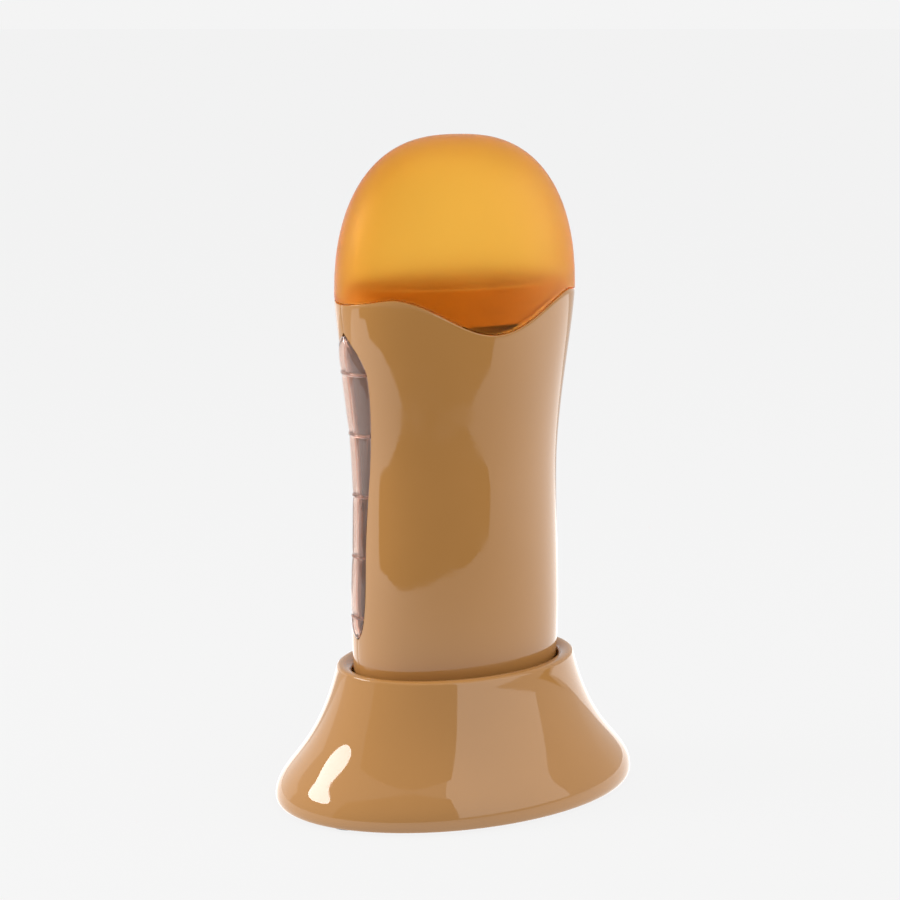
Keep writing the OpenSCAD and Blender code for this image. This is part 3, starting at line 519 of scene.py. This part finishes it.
# %% Give the lens its wall, and add the ribs
lens_wall, lens_edge = 1.3 * MM, 0.12 * MM
give_wall(lens, lens_wall, lens_edge, 2)
rib_half, rib_height, rib_inset, rib_rows = 0.55 * MM, 0.6 * MM, 0.25 * MM, 6
rib_wall, rib_edge = 1.2 * MM, 0.1 * MM
rib_spread = rib_half * 1.02
for number, z in enumerate(rib_z):
    bpy.ops.object.select_all(action="DESELECT")
    bpy.ops.mesh.primitive_grid_add(x_subdivisions=rib_rows, y_subdivisions=lens_cols, size=1,
                                    location=(beside_x, 0, z), rotation=(0, -math.pi / 2, 0))
    rib = bpy.context.object
    rib.name = rib.data.name = f"rib_{number}"
    bpy.ops.object.transform_apply(location=True, rotation=True, scale=True)
    open_piece(rib)
    bpy.ops.mesh.select_all(action="SELECT")
    half = lens_half(z) - rib_inset
    bpy.ops.transform.resize(value=(1, 2 * half, 2 * rib_half), center_override=(0, 0, z))
    close_piece(rib)
    wrap = rib.modifiers.new("lay", "SHRINKWRAP")
    wrap.target, wrap.wrap_method = skin, "PROJECT"
    wrap.use_project_x = wrap.use_positive_direction = True
    wrap.use_negative_direction = False
    apply_modifiers(rib)
    rows = sorted({round(v.co.z, 7) for v in rib.data.vertices})
    swell_rows(rib, rows, lens_cols, lambda _: half,
               lambda row: lens_height(z) + crown(row - z, rib_spread, rib_height))
    give_wall(rib, rib_wall, rib_edge, 1)
    bpy.ops.object.select_all(action="DESELECT")
    rib.select_set(True)
    lens.select_set(True)
    bpy.context.view_layer.objects.active = lens
    bpy.ops.object.join()
close_piece(lens, 40)
print("lens with ribs:", len(lens.data.polygons), "faces")
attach(lens, "handset")
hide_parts("window_lens")

# %% [markdown]
# ## The dock
# The dock is one moulding: it stands on a wide oval foot, flares in to a rounded rim, rolls over
# it, and goes down again as the pocket that holds the handset. It is drawn as one stack of
# ovals from the outer foot over the rim to the pocket's floor, because the real one is one skin.
# The outside is a little rounder in plan than the pocket, so each oval has its own depth.

# %% The dock's ovals
dock_ratio = 0.715
plate_z, dock_h, pocket_z = 1 * MM, 40 * MM, 13.8 * MM
dock_r, rim_r, rim_edge_z = 55.5 * MM, 36.7 * MM, 38.7 * MM
flare = cubic([(rim_r, rim_edge_z),
               (rim_r + 0.35 * (dock_r - rim_r), rim_edge_z - 0.69 * (rim_edge_z - plate_z)),
               (dock_r, plate_z + 10 * MM), (dock_r, plate_z + 1.6 * MM)], 44)
foot_edge = [(dock_r - 2.2 * MM, plate_z), (dock_r - 1.0 * MM, plate_z),
             (dock_r - 0.6 * MM, plate_z + 0.15 * MM), (dock_r - 0.28 * MM, plate_z + 0.55 * MM),
             (dock_r - 0.08 * MM, plate_z + 1.05 * MM)]
outside = foot_edge + flare[::-1]
dock_levels = [(r, r * dock_ratio, z) for r, z in outside]
mouth = (32.4 * MM, 20.87 * MM, 37.6 * MM)
rim_start = dock_levels[-1]
rim_steps, rim_rise = 12, 1.35 * MM
for step in range(1, rim_steps + 1):
    turn = math.pi * step / rim_steps
    share = (1 - math.cos(turn)) / 2
    lift = rim_rise * math.sin(turn) ** 0.9 if step < rim_steps else 0
    dock_levels.append((rim_start[0] + (mouth[0] - rim_start[0]) * share,
                        rim_start[1] + (mouth[1] - rim_start[1]) * share,
                        rim_start[2] + (mouth[2] - rim_start[2]) * share + lift))
pocket_floor = (30.9 * MM, 19.6 * MM)
for share in (0.15, 0.4, 0.7, 0.93):
    dock_levels.append((mouth[0] + (pocket_floor[0] - mouth[0]) * share,
                        mouth[1] + (pocket_floor[1] - mouth[1]) * share,
                        mouth[2] + (pocket_z - mouth[2]) * share))
dock_levels += [(30.7 * MM, 19.4 * MM, 14.4 * MM), (30.3 * MM, 19.0 * MM, 13.95 * MM),
                (29.6 * MM, 18.3 * MM, pocket_z), (20 * MM, 12.4 * MM, pocket_z),
                (8 * MM, 5 * MM, pocket_z)]
print(len(dock_levels), "ovals, rim crest at", round(max(l[2] for l in dock_levels) / MM, 2), "mm")

# %% [markdown]
# The ovals become one sheet, and Solidify turns it into a wall that is open underneath, as the
# moulding is.

# %% Build the dock
dock_columns, dock_wall, dock_edge = 160, 2.0 * MM, 0.15 * MM
dock = ring_stack("dock", dock_levels, dock_columns, close_top=True)
close_piece(dock)
give_wall(dock, dock_wall, dock_edge, 2)
close_piece(dock, 50)


def rod(name, radius, depth, place, along_y=False):
    """A plain rod, used to drill holes and add bosses."""
    bpy.ops.object.select_all(action="DESELECT")
    bpy.ops.mesh.primitive_cylinder_add(vertices=64, radius=radius, depth=depth, location=place,
                                        rotation=(math.pi / 2 if along_y else 0, 0, 0))
    piece = bpy.context.object
    piece.name = piece.data.name = name
    bpy.ops.object.transform_apply(location=True, rotation=True, scale=True)
    return piece


# %% [markdown]
# Two holes in the pocket's floor let the contact pins through, and the rear wall has a boss with
# a stepped hole for the cord gland. Boolean modifiers drill them, as a mould's core pins would.

# %% Drill the dock
pin_x, pin_hole_r = 12 * MM, 2.1 * MM
boss_z, boss_r, boss_l = 10.9 * MM, 7.6 * MM, 5.2 * MM
gland_z, seat_r, gland_r = 10.5 * MM, 6.8 * MM, 4.5 * MM
for x in (-pin_x, pin_x):
    carve(dock, rod("pin_drill", pin_hole_r, 6 * MM, (x, 0, 13 * MM)))
carve(dock, rod("gland_boss", boss_r, boss_l, (0, 33.4 * MM, boss_z), True), "UNION")
carve(dock, rod("gland_seat", seat_r, 9 * MM, (0, 38.98 * MM, gland_z), True))
carve(dock, rod("gland_drill", gland_r, 20 * MM, (0, 34 * MM, gland_z), True))
open_piece(dock)
close_piece(dock, 40)
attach(dock, "base")
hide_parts("base_shell")
print("dock:", len(dock.data.polygons), "faces")

# %% [markdown]
# ## Finishes
# Moulded plastic is never one flat value. The colour drifts a little, the gloss is broken by a
# fine haze and by faint marks from handling, and the surface has a very slight waviness that
# shows only in reflections. One helper sets up these three for every finish, with other numbers
# for plastic, metal, ceramic or rubber.


# %% A finish with colour drift, uneven gloss and fine relief
def finish(name, colour, rough=0.3, metal=0.0, drift=0.06, drift_scale=60, gloss_drift=0.06,
           relief=0.03, relief_scale=900, stretch=(1, 1, 1)):
    """A procedural finish on Object coordinates."""
    made = bpy.data.materials.new(name)
    made.use_nodes = True
    tree = made.node_tree
    surface = tree.nodes["Principled BSDF"]
    surface.inputs["Metallic"].default_value = metal
    place = tree.nodes.new("ShaderNodeTexCoord")
    turn = tree.nodes.new("ShaderNodeMapping")
    turn.inputs["Scale"].default_value = stretch
    tree.links.new(place.outputs["Object"], turn.inputs["Vector"])

    def noise(scale, detail):
        node = tree.nodes.new("ShaderNodeTexNoise")
        node.inputs["Scale"].default_value = scale
        node.inputs["Detail"].default_value = detail
        tree.links.new(turn.outputs["Vector"], node.inputs["Vector"])
        return node.outputs["Fac"]

    shades = tree.nodes.new("ShaderNodeValToRGB")
    shades.color_ramp.elements[0].position = 0.3
    shades.color_ramp.elements[1].position = 0.7
    shades.color_ramp.elements[0].color = [c * (1 - drift) for c in colour] + [1]
    shades.color_ramp.elements[1].color = [min(1, c * (1 + drift)) for c in colour] + [1]
    tree.links.new(noise(drift_scale, 3), shades.inputs["Fac"])
    tree.links.new(shades.outputs["Color"], surface.inputs["Base Color"])
    haze = tree.nodes.new("ShaderNodeMapRange")
    haze.inputs["From Min"].default_value = 0.35
    haze.inputs["From Max"].default_value = 0.65
    haze.inputs["To Min"].default_value = max(0.01, rough - gloss_drift / 2)
    haze.inputs["To Max"].default_value = rough + gloss_drift / 2
    tree.links.new(noise(drift_scale * 4, 5), haze.inputs["Value"])
    tree.links.new(haze.outputs["Result"], surface.inputs["Roughness"])
    bump = tree.nodes.new("ShaderNodeBump")
    bump.inputs["Strength"].default_value = relief
    bump.inputs["Distance"].default_value = 0.0002
    tree.links.new(noise(relief_scale, 2), bump.inputs["Height"])
    tree.links.new(bump.outputs["Normal"], surface.inputs["Normal"])
    return made


def srgb(r, g, b):
    """A colour as a screen shows it, 0 to 255, turned to the linear values a shader takes."""
    return [(c / 255 / 12.92) if c / 255 <= 0.04045 else ((c / 255 + 0.055) / 1.055) ** 2.4
            for c in (r, g, b)]


def wear(piece, material):
    """Gives piece one finish all over."""
    piece.data.materials.clear()
    piece.data.materials.append(material)


# %% [markdown]
# The body's plastic is a glossy caramel. Its gloss is high, so nearly all that gives it form is
# the reflection of the studio.

# %% Caramel plastic
caramel = finish("caramel_gloss", srgb(168, 120, 66), rough=0.04, drift=0.02, drift_scale=35,
                 gloss_drift=0.04, relief=0.02, relief_scale=350)
for piece in (shell_front, shell_rear, dock):
    wear(piece, caramel)
for node in ("base_bottom_plate", "cord_gland", "handset_bottom_cover"):
    wear(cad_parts[node], caramel)

# %% [markdown]
# The cap is a frosted translucent orange. Light goes through both of its walls, so its middle is
# pale and its edges, where the eye looks along the wall, are saturated. Rough transmission makes
# the frost, and a volume that absorbs blue and green makes the colour grow with the path.

# %% Frosted orange
frosted = finish("frosted_orange", srgb(250, 233, 188), rough=0.42, drift=0.02, drift_scale=30,
                 gloss_drift=0.05, relief=0.03, relief_scale=1500)
surface = frosted.node_tree.nodes["Principled BSDF"]
surface.inputs["Transmission Weight"].default_value = 1
surface.inputs["IOR"].default_value = 1.3
surface.inputs["Specular Tint"].default_value = (1.0, 0.5, 0.06, 1)
tint = frosted.node_tree.nodes.new("ShaderNodeVolumeAbsorption")
tint.inputs["Color"].default_value = (1.0, 0.86, 0.45, 1)
tint.inputs["Density"].default_value = 500
frosted.node_tree.links.new(tint.outputs[0],
                            frosted.node_tree.nodes["Material Output"].inputs["Volume"])
wear(cap, frosted)

# %% [markdown]
# The level window is clear plastic with a faint warm tint.

# %% Clear plastic
clear = finish("clear_plastic", srgb(240, 206, 190), rough=0.05, drift=0.02, drift_scale=50,
               gloss_drift=0.03, relief=0.04, relief_scale=250)
surface = clear.node_tree.nodes["Principled BSDF"]
surface.inputs["Transmission Weight"].default_value = 0.9
surface.inputs["IOR"].default_value = 1.45
wear(lens, clear)

# %% [markdown]
# The other parts are inside or underneath. Each has the finish of its real material.

# %% Finishes of the inner parts
finishes = {
    "liner_satin": (srgb(188, 122, 52), dict(rough=0.35, relief=0.05),
                    ["bay_liner", "cap_collar"]),
    "ivory_nylon": (srgb(222, 214, 192), dict(rough=0.45, relief=0.08),
                    ["contact_carrier", "terminal_block"]),
    "black_phenolic": (srgb(30, 29, 28), dict(rough=0.5, drift=0.2), ["thermostat"]),
    "extruded_aluminium": (srgb(205, 207, 210), dict(rough=0.32, metal=1.0, stretch=(8, 8, 0.4),
                                                     relief=0.2, drift_scale=120),
                           ["heater_plate_front", "heater_plate_rear"]),
    "dull_ceramic": (srgb(120, 122, 124), dict(rough=0.7, relief=0.3, relief_scale=2500),
                     ["ptc_heater_front", "ptc_heater_rear"]),
    "glazed_ceramic": (srgb(236, 232, 220), dict(rough=0.15), ["thermal_fuse"]),
    "contact_brass": (srgb(214, 178, 96), dict(rough=0.28, metal=1.0, drift=0.12,
                                               gloss_drift=0.16),
                      ["contact_pin_live", "contact_pin_neutral", "contact_pad_live",
                       "contact_pad_neutral", "contact_strip_live", "contact_strip_neutral"]),
    "spring_steel": (srgb(196, 198, 202), dict(rough=0.25, metal=1.0, gloss_drift=0.12),
                     ["contact_spring_live", "contact_spring_neutral", "heater_clip_front",
                      "heater_clip_rear"]),
    "zinc_screw": (srgb(206, 206, 208), dict(rough=0.3, metal=1.0, drift=0.1, gloss_drift=0.2),
                   ["base_screws", "carrier_screws", "terminal_screws", "housing_screws"]),
    "foot_rubber": (srgb(44, 43, 42), dict(rough=0.8, relief=0.4, relief_scale=3000),
                    ["rubber_feet"]),
    "red_silicone": (srgb(170, 34, 26), dict(rough=0.5, relief=0.05),
                     ["lead_feed", "lead_bridge", "lead_live_front", "lead_live_rear"]),
    "blue_silicone": (srgb(34, 58, 150), dict(rough=0.5, relief=0.05),
                      ["lead_neutral_front", "lead_neutral_rear"]),
}
for name, (colour, numbers, nodes) in finishes.items():
    material = finish(name, colour, **numbers)
    for node in nodes:
        wear(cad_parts[node], material)
print(len(finishes) + 3, "finishes")

# %% [markdown]
# A contact pin sinks 2 mm under the handset, and the spring under it gets shorter by as much. A
# copy of each spring, with its loose triangles merged, takes its place, and it keeps the solid's
# length as the pin goes down.

# %% Copies of the springs
for side in ("live", "neutral"):
    node = f"contact_spring_{side}"
    spring = bpy.data.objects.new(f"spring_{side}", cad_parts[node].data.copy())
    spring.data.name = spring.name
    bpy.context.collection.objects.link(spring)
    open_piece(spring)
    bpy.ops.mesh.select_all(action="SELECT")
    bpy.ops.mesh.remove_doubles(threshold=1e-6)
    close_piece(spring, 50)
    spring_low, spring_high = (Vector(corner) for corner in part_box(node))
    seat = (spring_low + spring_high) / 2
    seat.z = spring_low.z
    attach(spring, "base")
    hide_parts(node)
    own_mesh(spring)

# %% [markdown]
# ## Studio
# The camera stands a little to the left of the front and above the rim, at the place found from
# the dock's foot, the rim and both outlines of the handset. Its long lens keeps them in shape.

# %% The camera
azimuth, elevation, distance = math.radians(-30.5), math.radians(10.8), 650 * MM
aim_right, aim_z = -1.83 * MM, 100.08 * MM
focal_pixels, frame_pixels = 2275, 900
back = Vector((math.sin(azimuth) * math.cos(elevation), -math.cos(azimuth) * math.cos(elevation),
               math.sin(elevation)))
right = Vector((math.cos(azimuth), math.sin(azimuth), 0))
aim = right * aim_right + Vector((0, 0, aim_z))
camera_data = bpy.data.cameras.new("camera")
camera_data.sensor_width = 36
camera_data.lens = camera_data.sensor_width * focal_pixels / frame_pixels
camera_data.clip_start, camera_data.clip_end = 0.02, 50
camera = bpy.data.objects.new("camera", camera_data)
camera.location = aim + back * distance
camera.rotation_mode = "QUATERNION"
camera.rotation_quaternion = (-back).to_track_quat("-Z", "Y")
bpy.context.collection.objects.link(camera)
bpy.context.scene.camera = camera
bpy.context.scene.view_settings.view_transform = "Standard"

# %% [markdown]
# The floor and the surround are the same pale grey to the camera. The world decides by the kind
# of ray what it shows: the camera, gloss and clear plastic see the backdrop, and only the soft
# light that falls on the object comes from the second, weaker tone.

# %% The surround
backdrop, soft_tone = 0.905, 0.5
world = bpy.data.worlds.new("studio")
bpy.context.scene.world = world
world.use_nodes = True
tree = world.node_tree
tree.nodes.clear()
seen = tree.nodes.new("ShaderNodeBackground")
seen.inputs["Color"].default_value = (backdrop, backdrop, backdrop, 1)
fill = tree.nodes.new("ShaderNodeBackground")
fill.inputs["Color"].default_value = (soft_tone, soft_tone, soft_tone, 1)


def seen_directly(tree):
    """1 for camera, glossy and transmission rays, 0 for the light that falls on the object."""
    path = tree.nodes.new("ShaderNodeLightPath")
    camera_or_clear = tree.nodes.new("ShaderNodeMath")
    camera_or_clear.operation = "MAXIMUM"
    tree.links.new(path.outputs["Is Camera Ray"], camera_or_clear.inputs[0])
    tree.links.new(path.outputs["Is Transmission Ray"], camera_or_clear.inputs[1])
    or_glossy = tree.nodes.new("ShaderNodeMath")
    or_glossy.operation = "MAXIMUM"
    tree.links.new(camera_or_clear.outputs[0], or_glossy.inputs[0])
    tree.links.new(path.outputs["Is Glossy Ray"], or_glossy.inputs[1])
    return or_glossy.outputs[0]


mix = tree.nodes.new("ShaderNodeMixShader")
out = tree.nodes.new("ShaderNodeOutputWorld")
tree.links.new(seen_directly(tree), mix.inputs["Fac"])
tree.links.new(fill.outputs[0], mix.inputs[1])
tree.links.new(seen.outputs[0], mix.inputs[2])
tree.links.new(mix.outputs[0], out.inputs["Surface"])

# %% [markdown]
# Most of the floor's tone is its own glow, which makes it melt into the surround. A thin matte
# share on top still catches the object's soft shadow.

# %% The floor
floor_glow, floor_matte, floor_radius = 0.87, 0.035, 40
floor_material = bpy.data.materials.new("floor_pale")
floor_material.use_nodes = True
tree = floor_material.node_tree
tree.nodes.clear()
glow = tree.nodes.new("ShaderNodeEmission")
glow.inputs["Color"].default_value = (floor_glow, floor_glow, floor_glow, 1)
matte = tree.nodes.new("ShaderNodeBsdfDiffuse")
matte.inputs["Color"].default_value = (floor_matte, floor_matte, floor_matte, 1)
both = tree.nodes.new("ShaderNodeAddShader")
out = tree.nodes.new("ShaderNodeOutputMaterial")
tree.links.new(glow.outputs[0], both.inputs[0])
tree.links.new(matte.outputs[0], both.inputs[1])
tree.links.new(both.outputs[0], out.inputs["Surface"])
bpy.ops.object.select_all(action="DESELECT")
bpy.ops.mesh.primitive_circle_add(vertices=96, radius=floor_radius, fill_type="NGON",
                                  location=(0, 0, 0))
floor = bpy.context.object
floor.name = "floor"
wear(floor, floor_material)

# %% [markdown]
# Glossy plastic is drawn by what it mirrors. A dim wall at the front left keeps the deep caramel
# stripe down the front, and a tall pale panel to the right of the camera ends it with a clear
# edge. Two more pale walls, at the right and behind at the left, brighten the narrow sides. All
# four are cards that only reflections see, so they cast no shadow and stay out of every picture.


# %% Cards that only gloss can see
def card(name, tone, place, width, height, facing_deg):
    """An upright card at place, its lower edge at place's height, turned to face the object."""
    bpy.ops.object.select_all(action="DESELECT")
    bpy.ops.mesh.primitive_plane_add(size=1, location=(0, 0, 0), rotation=(math.pi / 2, 0, 0))
    made = bpy.context.object
    made.name = made.data.name = name
    bpy.ops.object.transform_apply(location=True, rotation=True, scale=True)
    open_piece(made)
    bpy.ops.mesh.select_all(action="SELECT")
    bpy.ops.transform.resize(value=(width, 1, height), center_override=(0, 0, 0))
    bpy.ops.object.mode_set(mode="OBJECT")
    made.rotation_euler = (0, 0, math.radians(facing_deg))
    made.location = (place[0], place[1], place[2] + height / 2)
    bpy.ops.object.transform_apply(location=True, rotation=True, scale=True)
    light_up(made, tone)


def light_up(made, tone):
    """Gives a card an even glow of tone, for glossy rays alone."""
    glow_material = bpy.data.materials.new(made.name + "_glow")
    glow_material.use_nodes = True
    tree = glow_material.node_tree
    tree.nodes.clear()
    glow = tree.nodes.new("ShaderNodeEmission")
    glow.inputs["Color"].default_value = (1, 1, 1, 1)
    glow.inputs["Strength"].default_value = tone
    out = tree.nodes.new("ShaderNodeOutputMaterial")
    tree.links.new(glow.outputs[0], out.inputs["Surface"])
    wear(made, glow_material)
    made.visible_camera = made.visible_diffuse = made.visible_transmission = False
    made.visible_volume_scatter = made.visible_shadow = False


def round_the_object(azimuth_deg, reach):
    """The point at reach from the object in the direction azimuth_deg, where 0 is its front."""
    turn = math.radians(azimuth_deg)
    return (reach * math.sin(turn), -reach * math.cos(turn), 0)


for name, tone, azimuth_deg, reach, low_z, width, height in (
        ("dim_wall", 0.45, -43, 0.7, 0, 1.15, 0.8),
        ("pale_panel", 2.3, 24, 2.5, 0.16, 2.8, 2.9),
        ("pale_wall_right", 1.0, 118, 1.5, 0, 1.3, 0.9),
        ("pale_wall_left", 1.6, -166, 0.7, 0, 0.68, 0.3)):
    x, y, _ = round_the_object(azimuth_deg, reach)
    card(name, tone, (x, y, low_z), width, height, azimuth_deg)

# %% [markdown]
# The body leans back over the table, so it mirrors the table's top. That is bright at both
# sides, less so in front, and beyond its front edge the room is dark. Both are flat cards, and
# the tone of the bright one grows with the distance from the middle.


# %% The table and the dark beyond it, as gloss sees them
def flat_card(name, outline, height, tone):
    """A flat card on the floor with the given outline, drawn point by point."""
    bpy.ops.object.select_all(action="DESELECT")
    bpy.ops.mesh.primitive_plane_add(size=MM, location=(0, 0, 0))
    made = bpy.context.object
    made.name = made.data.name = name
    open_piece(made)
    bpy.ops.mesh.select_mode(type="VERT")
    bpy.ops.mesh.select_all(action="SELECT")
    bpy.ops.mesh.merge(type="CENTER")
    bpy.ops.transform.translate(value=(*outline[0], height))
    for (x0, y0), (x1, y1) in zip(outline, outline[1:]):
        step = {"value": (x1 - x0, y1 - y0, 0)}
        bpy.ops.mesh.extrude_vertices_move(TRANSFORM_OT_translate=step)
    bpy.ops.mesh.select_all(action="SELECT")
    bpy.ops.mesh.edge_face_add()
    bpy.ops.object.mode_set(mode="OBJECT")
    light_up(made, tone)
    return made


table_half, table_rear, table_front = 1, 0.25, -0.42
table = flat_card("table", [(-table_half, table_rear), (-table_half, table_front),
                            (table_half, table_front), (table_half, table_rear)], 0.2 * MM, 1)
tree = table.data.materials[0].node_tree
where = tree.nodes.new("ShaderNodeTexCoord")
middle = tree.nodes.new("ShaderNodeVectorMath")
middle.operation = "DISTANCE"
middle.inputs[1].default_value = (0, -0.45, 0)
grow = tree.nodes.new("ShaderNodeMapRange")
grow.interpolation_type = "SMOOTHSTEP"
for socket, value in (("From Min", 0.1), ("From Max", 0.6), ("To Min", 1.0), ("To Max", 2.2)):
    grow.inputs[socket].default_value = value
tree.links.new(where.outputs["Object"], middle.inputs[0])
tree.links.new(middle.outputs["Value"], grow.inputs["Value"])
tree.links.new(grow.outputs["Result"], tree.nodes["Emission"].inputs["Strength"])
dark_edge = [(-4, 0.3), (-0.52, 0.06), (-0.5, -0.04), (-0.4, -0.06), (-0.35, -0.145),
             (-0.285, -0.2), (-0.235, -0.235), (-0.17, -0.288), (-0.06, -0.343), (0, -0.355),
             (0.19, -0.37), (0.24, -0.42), (4, -0.44)]
room_corners = [(4, -4), (-4, -4)]
flat_card("dark_front", dark_edge[1:] + room_corners + dark_edge[:1], 0.5 * MM, 0.05)

# %% [markdown]
# The lamps are soft boxes. The small one, high on the left, is the one that leaves the pale
# patch on the dock's flare. The four large ones give the colour its even light, and the gloss
# doesn't mirror them.


# %% Soft lights
lamp_aim = Vector((0, 0, 50 * MM))


def soft_light(name, azimuth_deg, elevation_deg, reach, size, brightness):
    """A rounded soft box that faces the object. Size is its width and height."""
    data = bpy.data.lights.new(name, "AREA")
    data.shape = "ELLIPSE"
    data.size, data.size_y = size
    data.energy = brightness * math.pi * size[0] * size[1] * math.pi / 4
    light = bpy.data.objects.new(name, data)
    across = reach * math.cos(math.radians(elevation_deg))
    place = Vector(round_the_object(azimuth_deg, across))
    place.z = reach * math.sin(math.radians(elevation_deg))
    light.location = place
    light.rotation_mode = "QUATERNION"
    light.rotation_quaternion = (lamp_aim - place).to_track_quat("-Z", "Y")
    light.visible_camera = False
    bpy.context.collection.objects.link(light)
    return light


soft_light("soft_box", -113, 34, 0.6, (0.3, 0.15), 14)
for name, azimuth_deg, elevation_deg, brightness in (
        ("front_fill", 10, 45, 0.9), ("top_fill", -10, 75, 2.2), ("left_fill", -110, 18, 2.4),
        ("right_fill", 65, 22, 2.7)):
    fill_light = soft_light(name, azimuth_deg, elevation_deg, 1.2, (0.9, 0.9), brightness)
    fill_light.visible_glossy = False

# %% [markdown]
# ## Finish
# The two guide surfaces have shaped the other pieces and are removed. A dressed part has the size
# of its solids.

# %% Tidy up
for guide in (skin, body):
    bpy.data.objects.remove(guide)
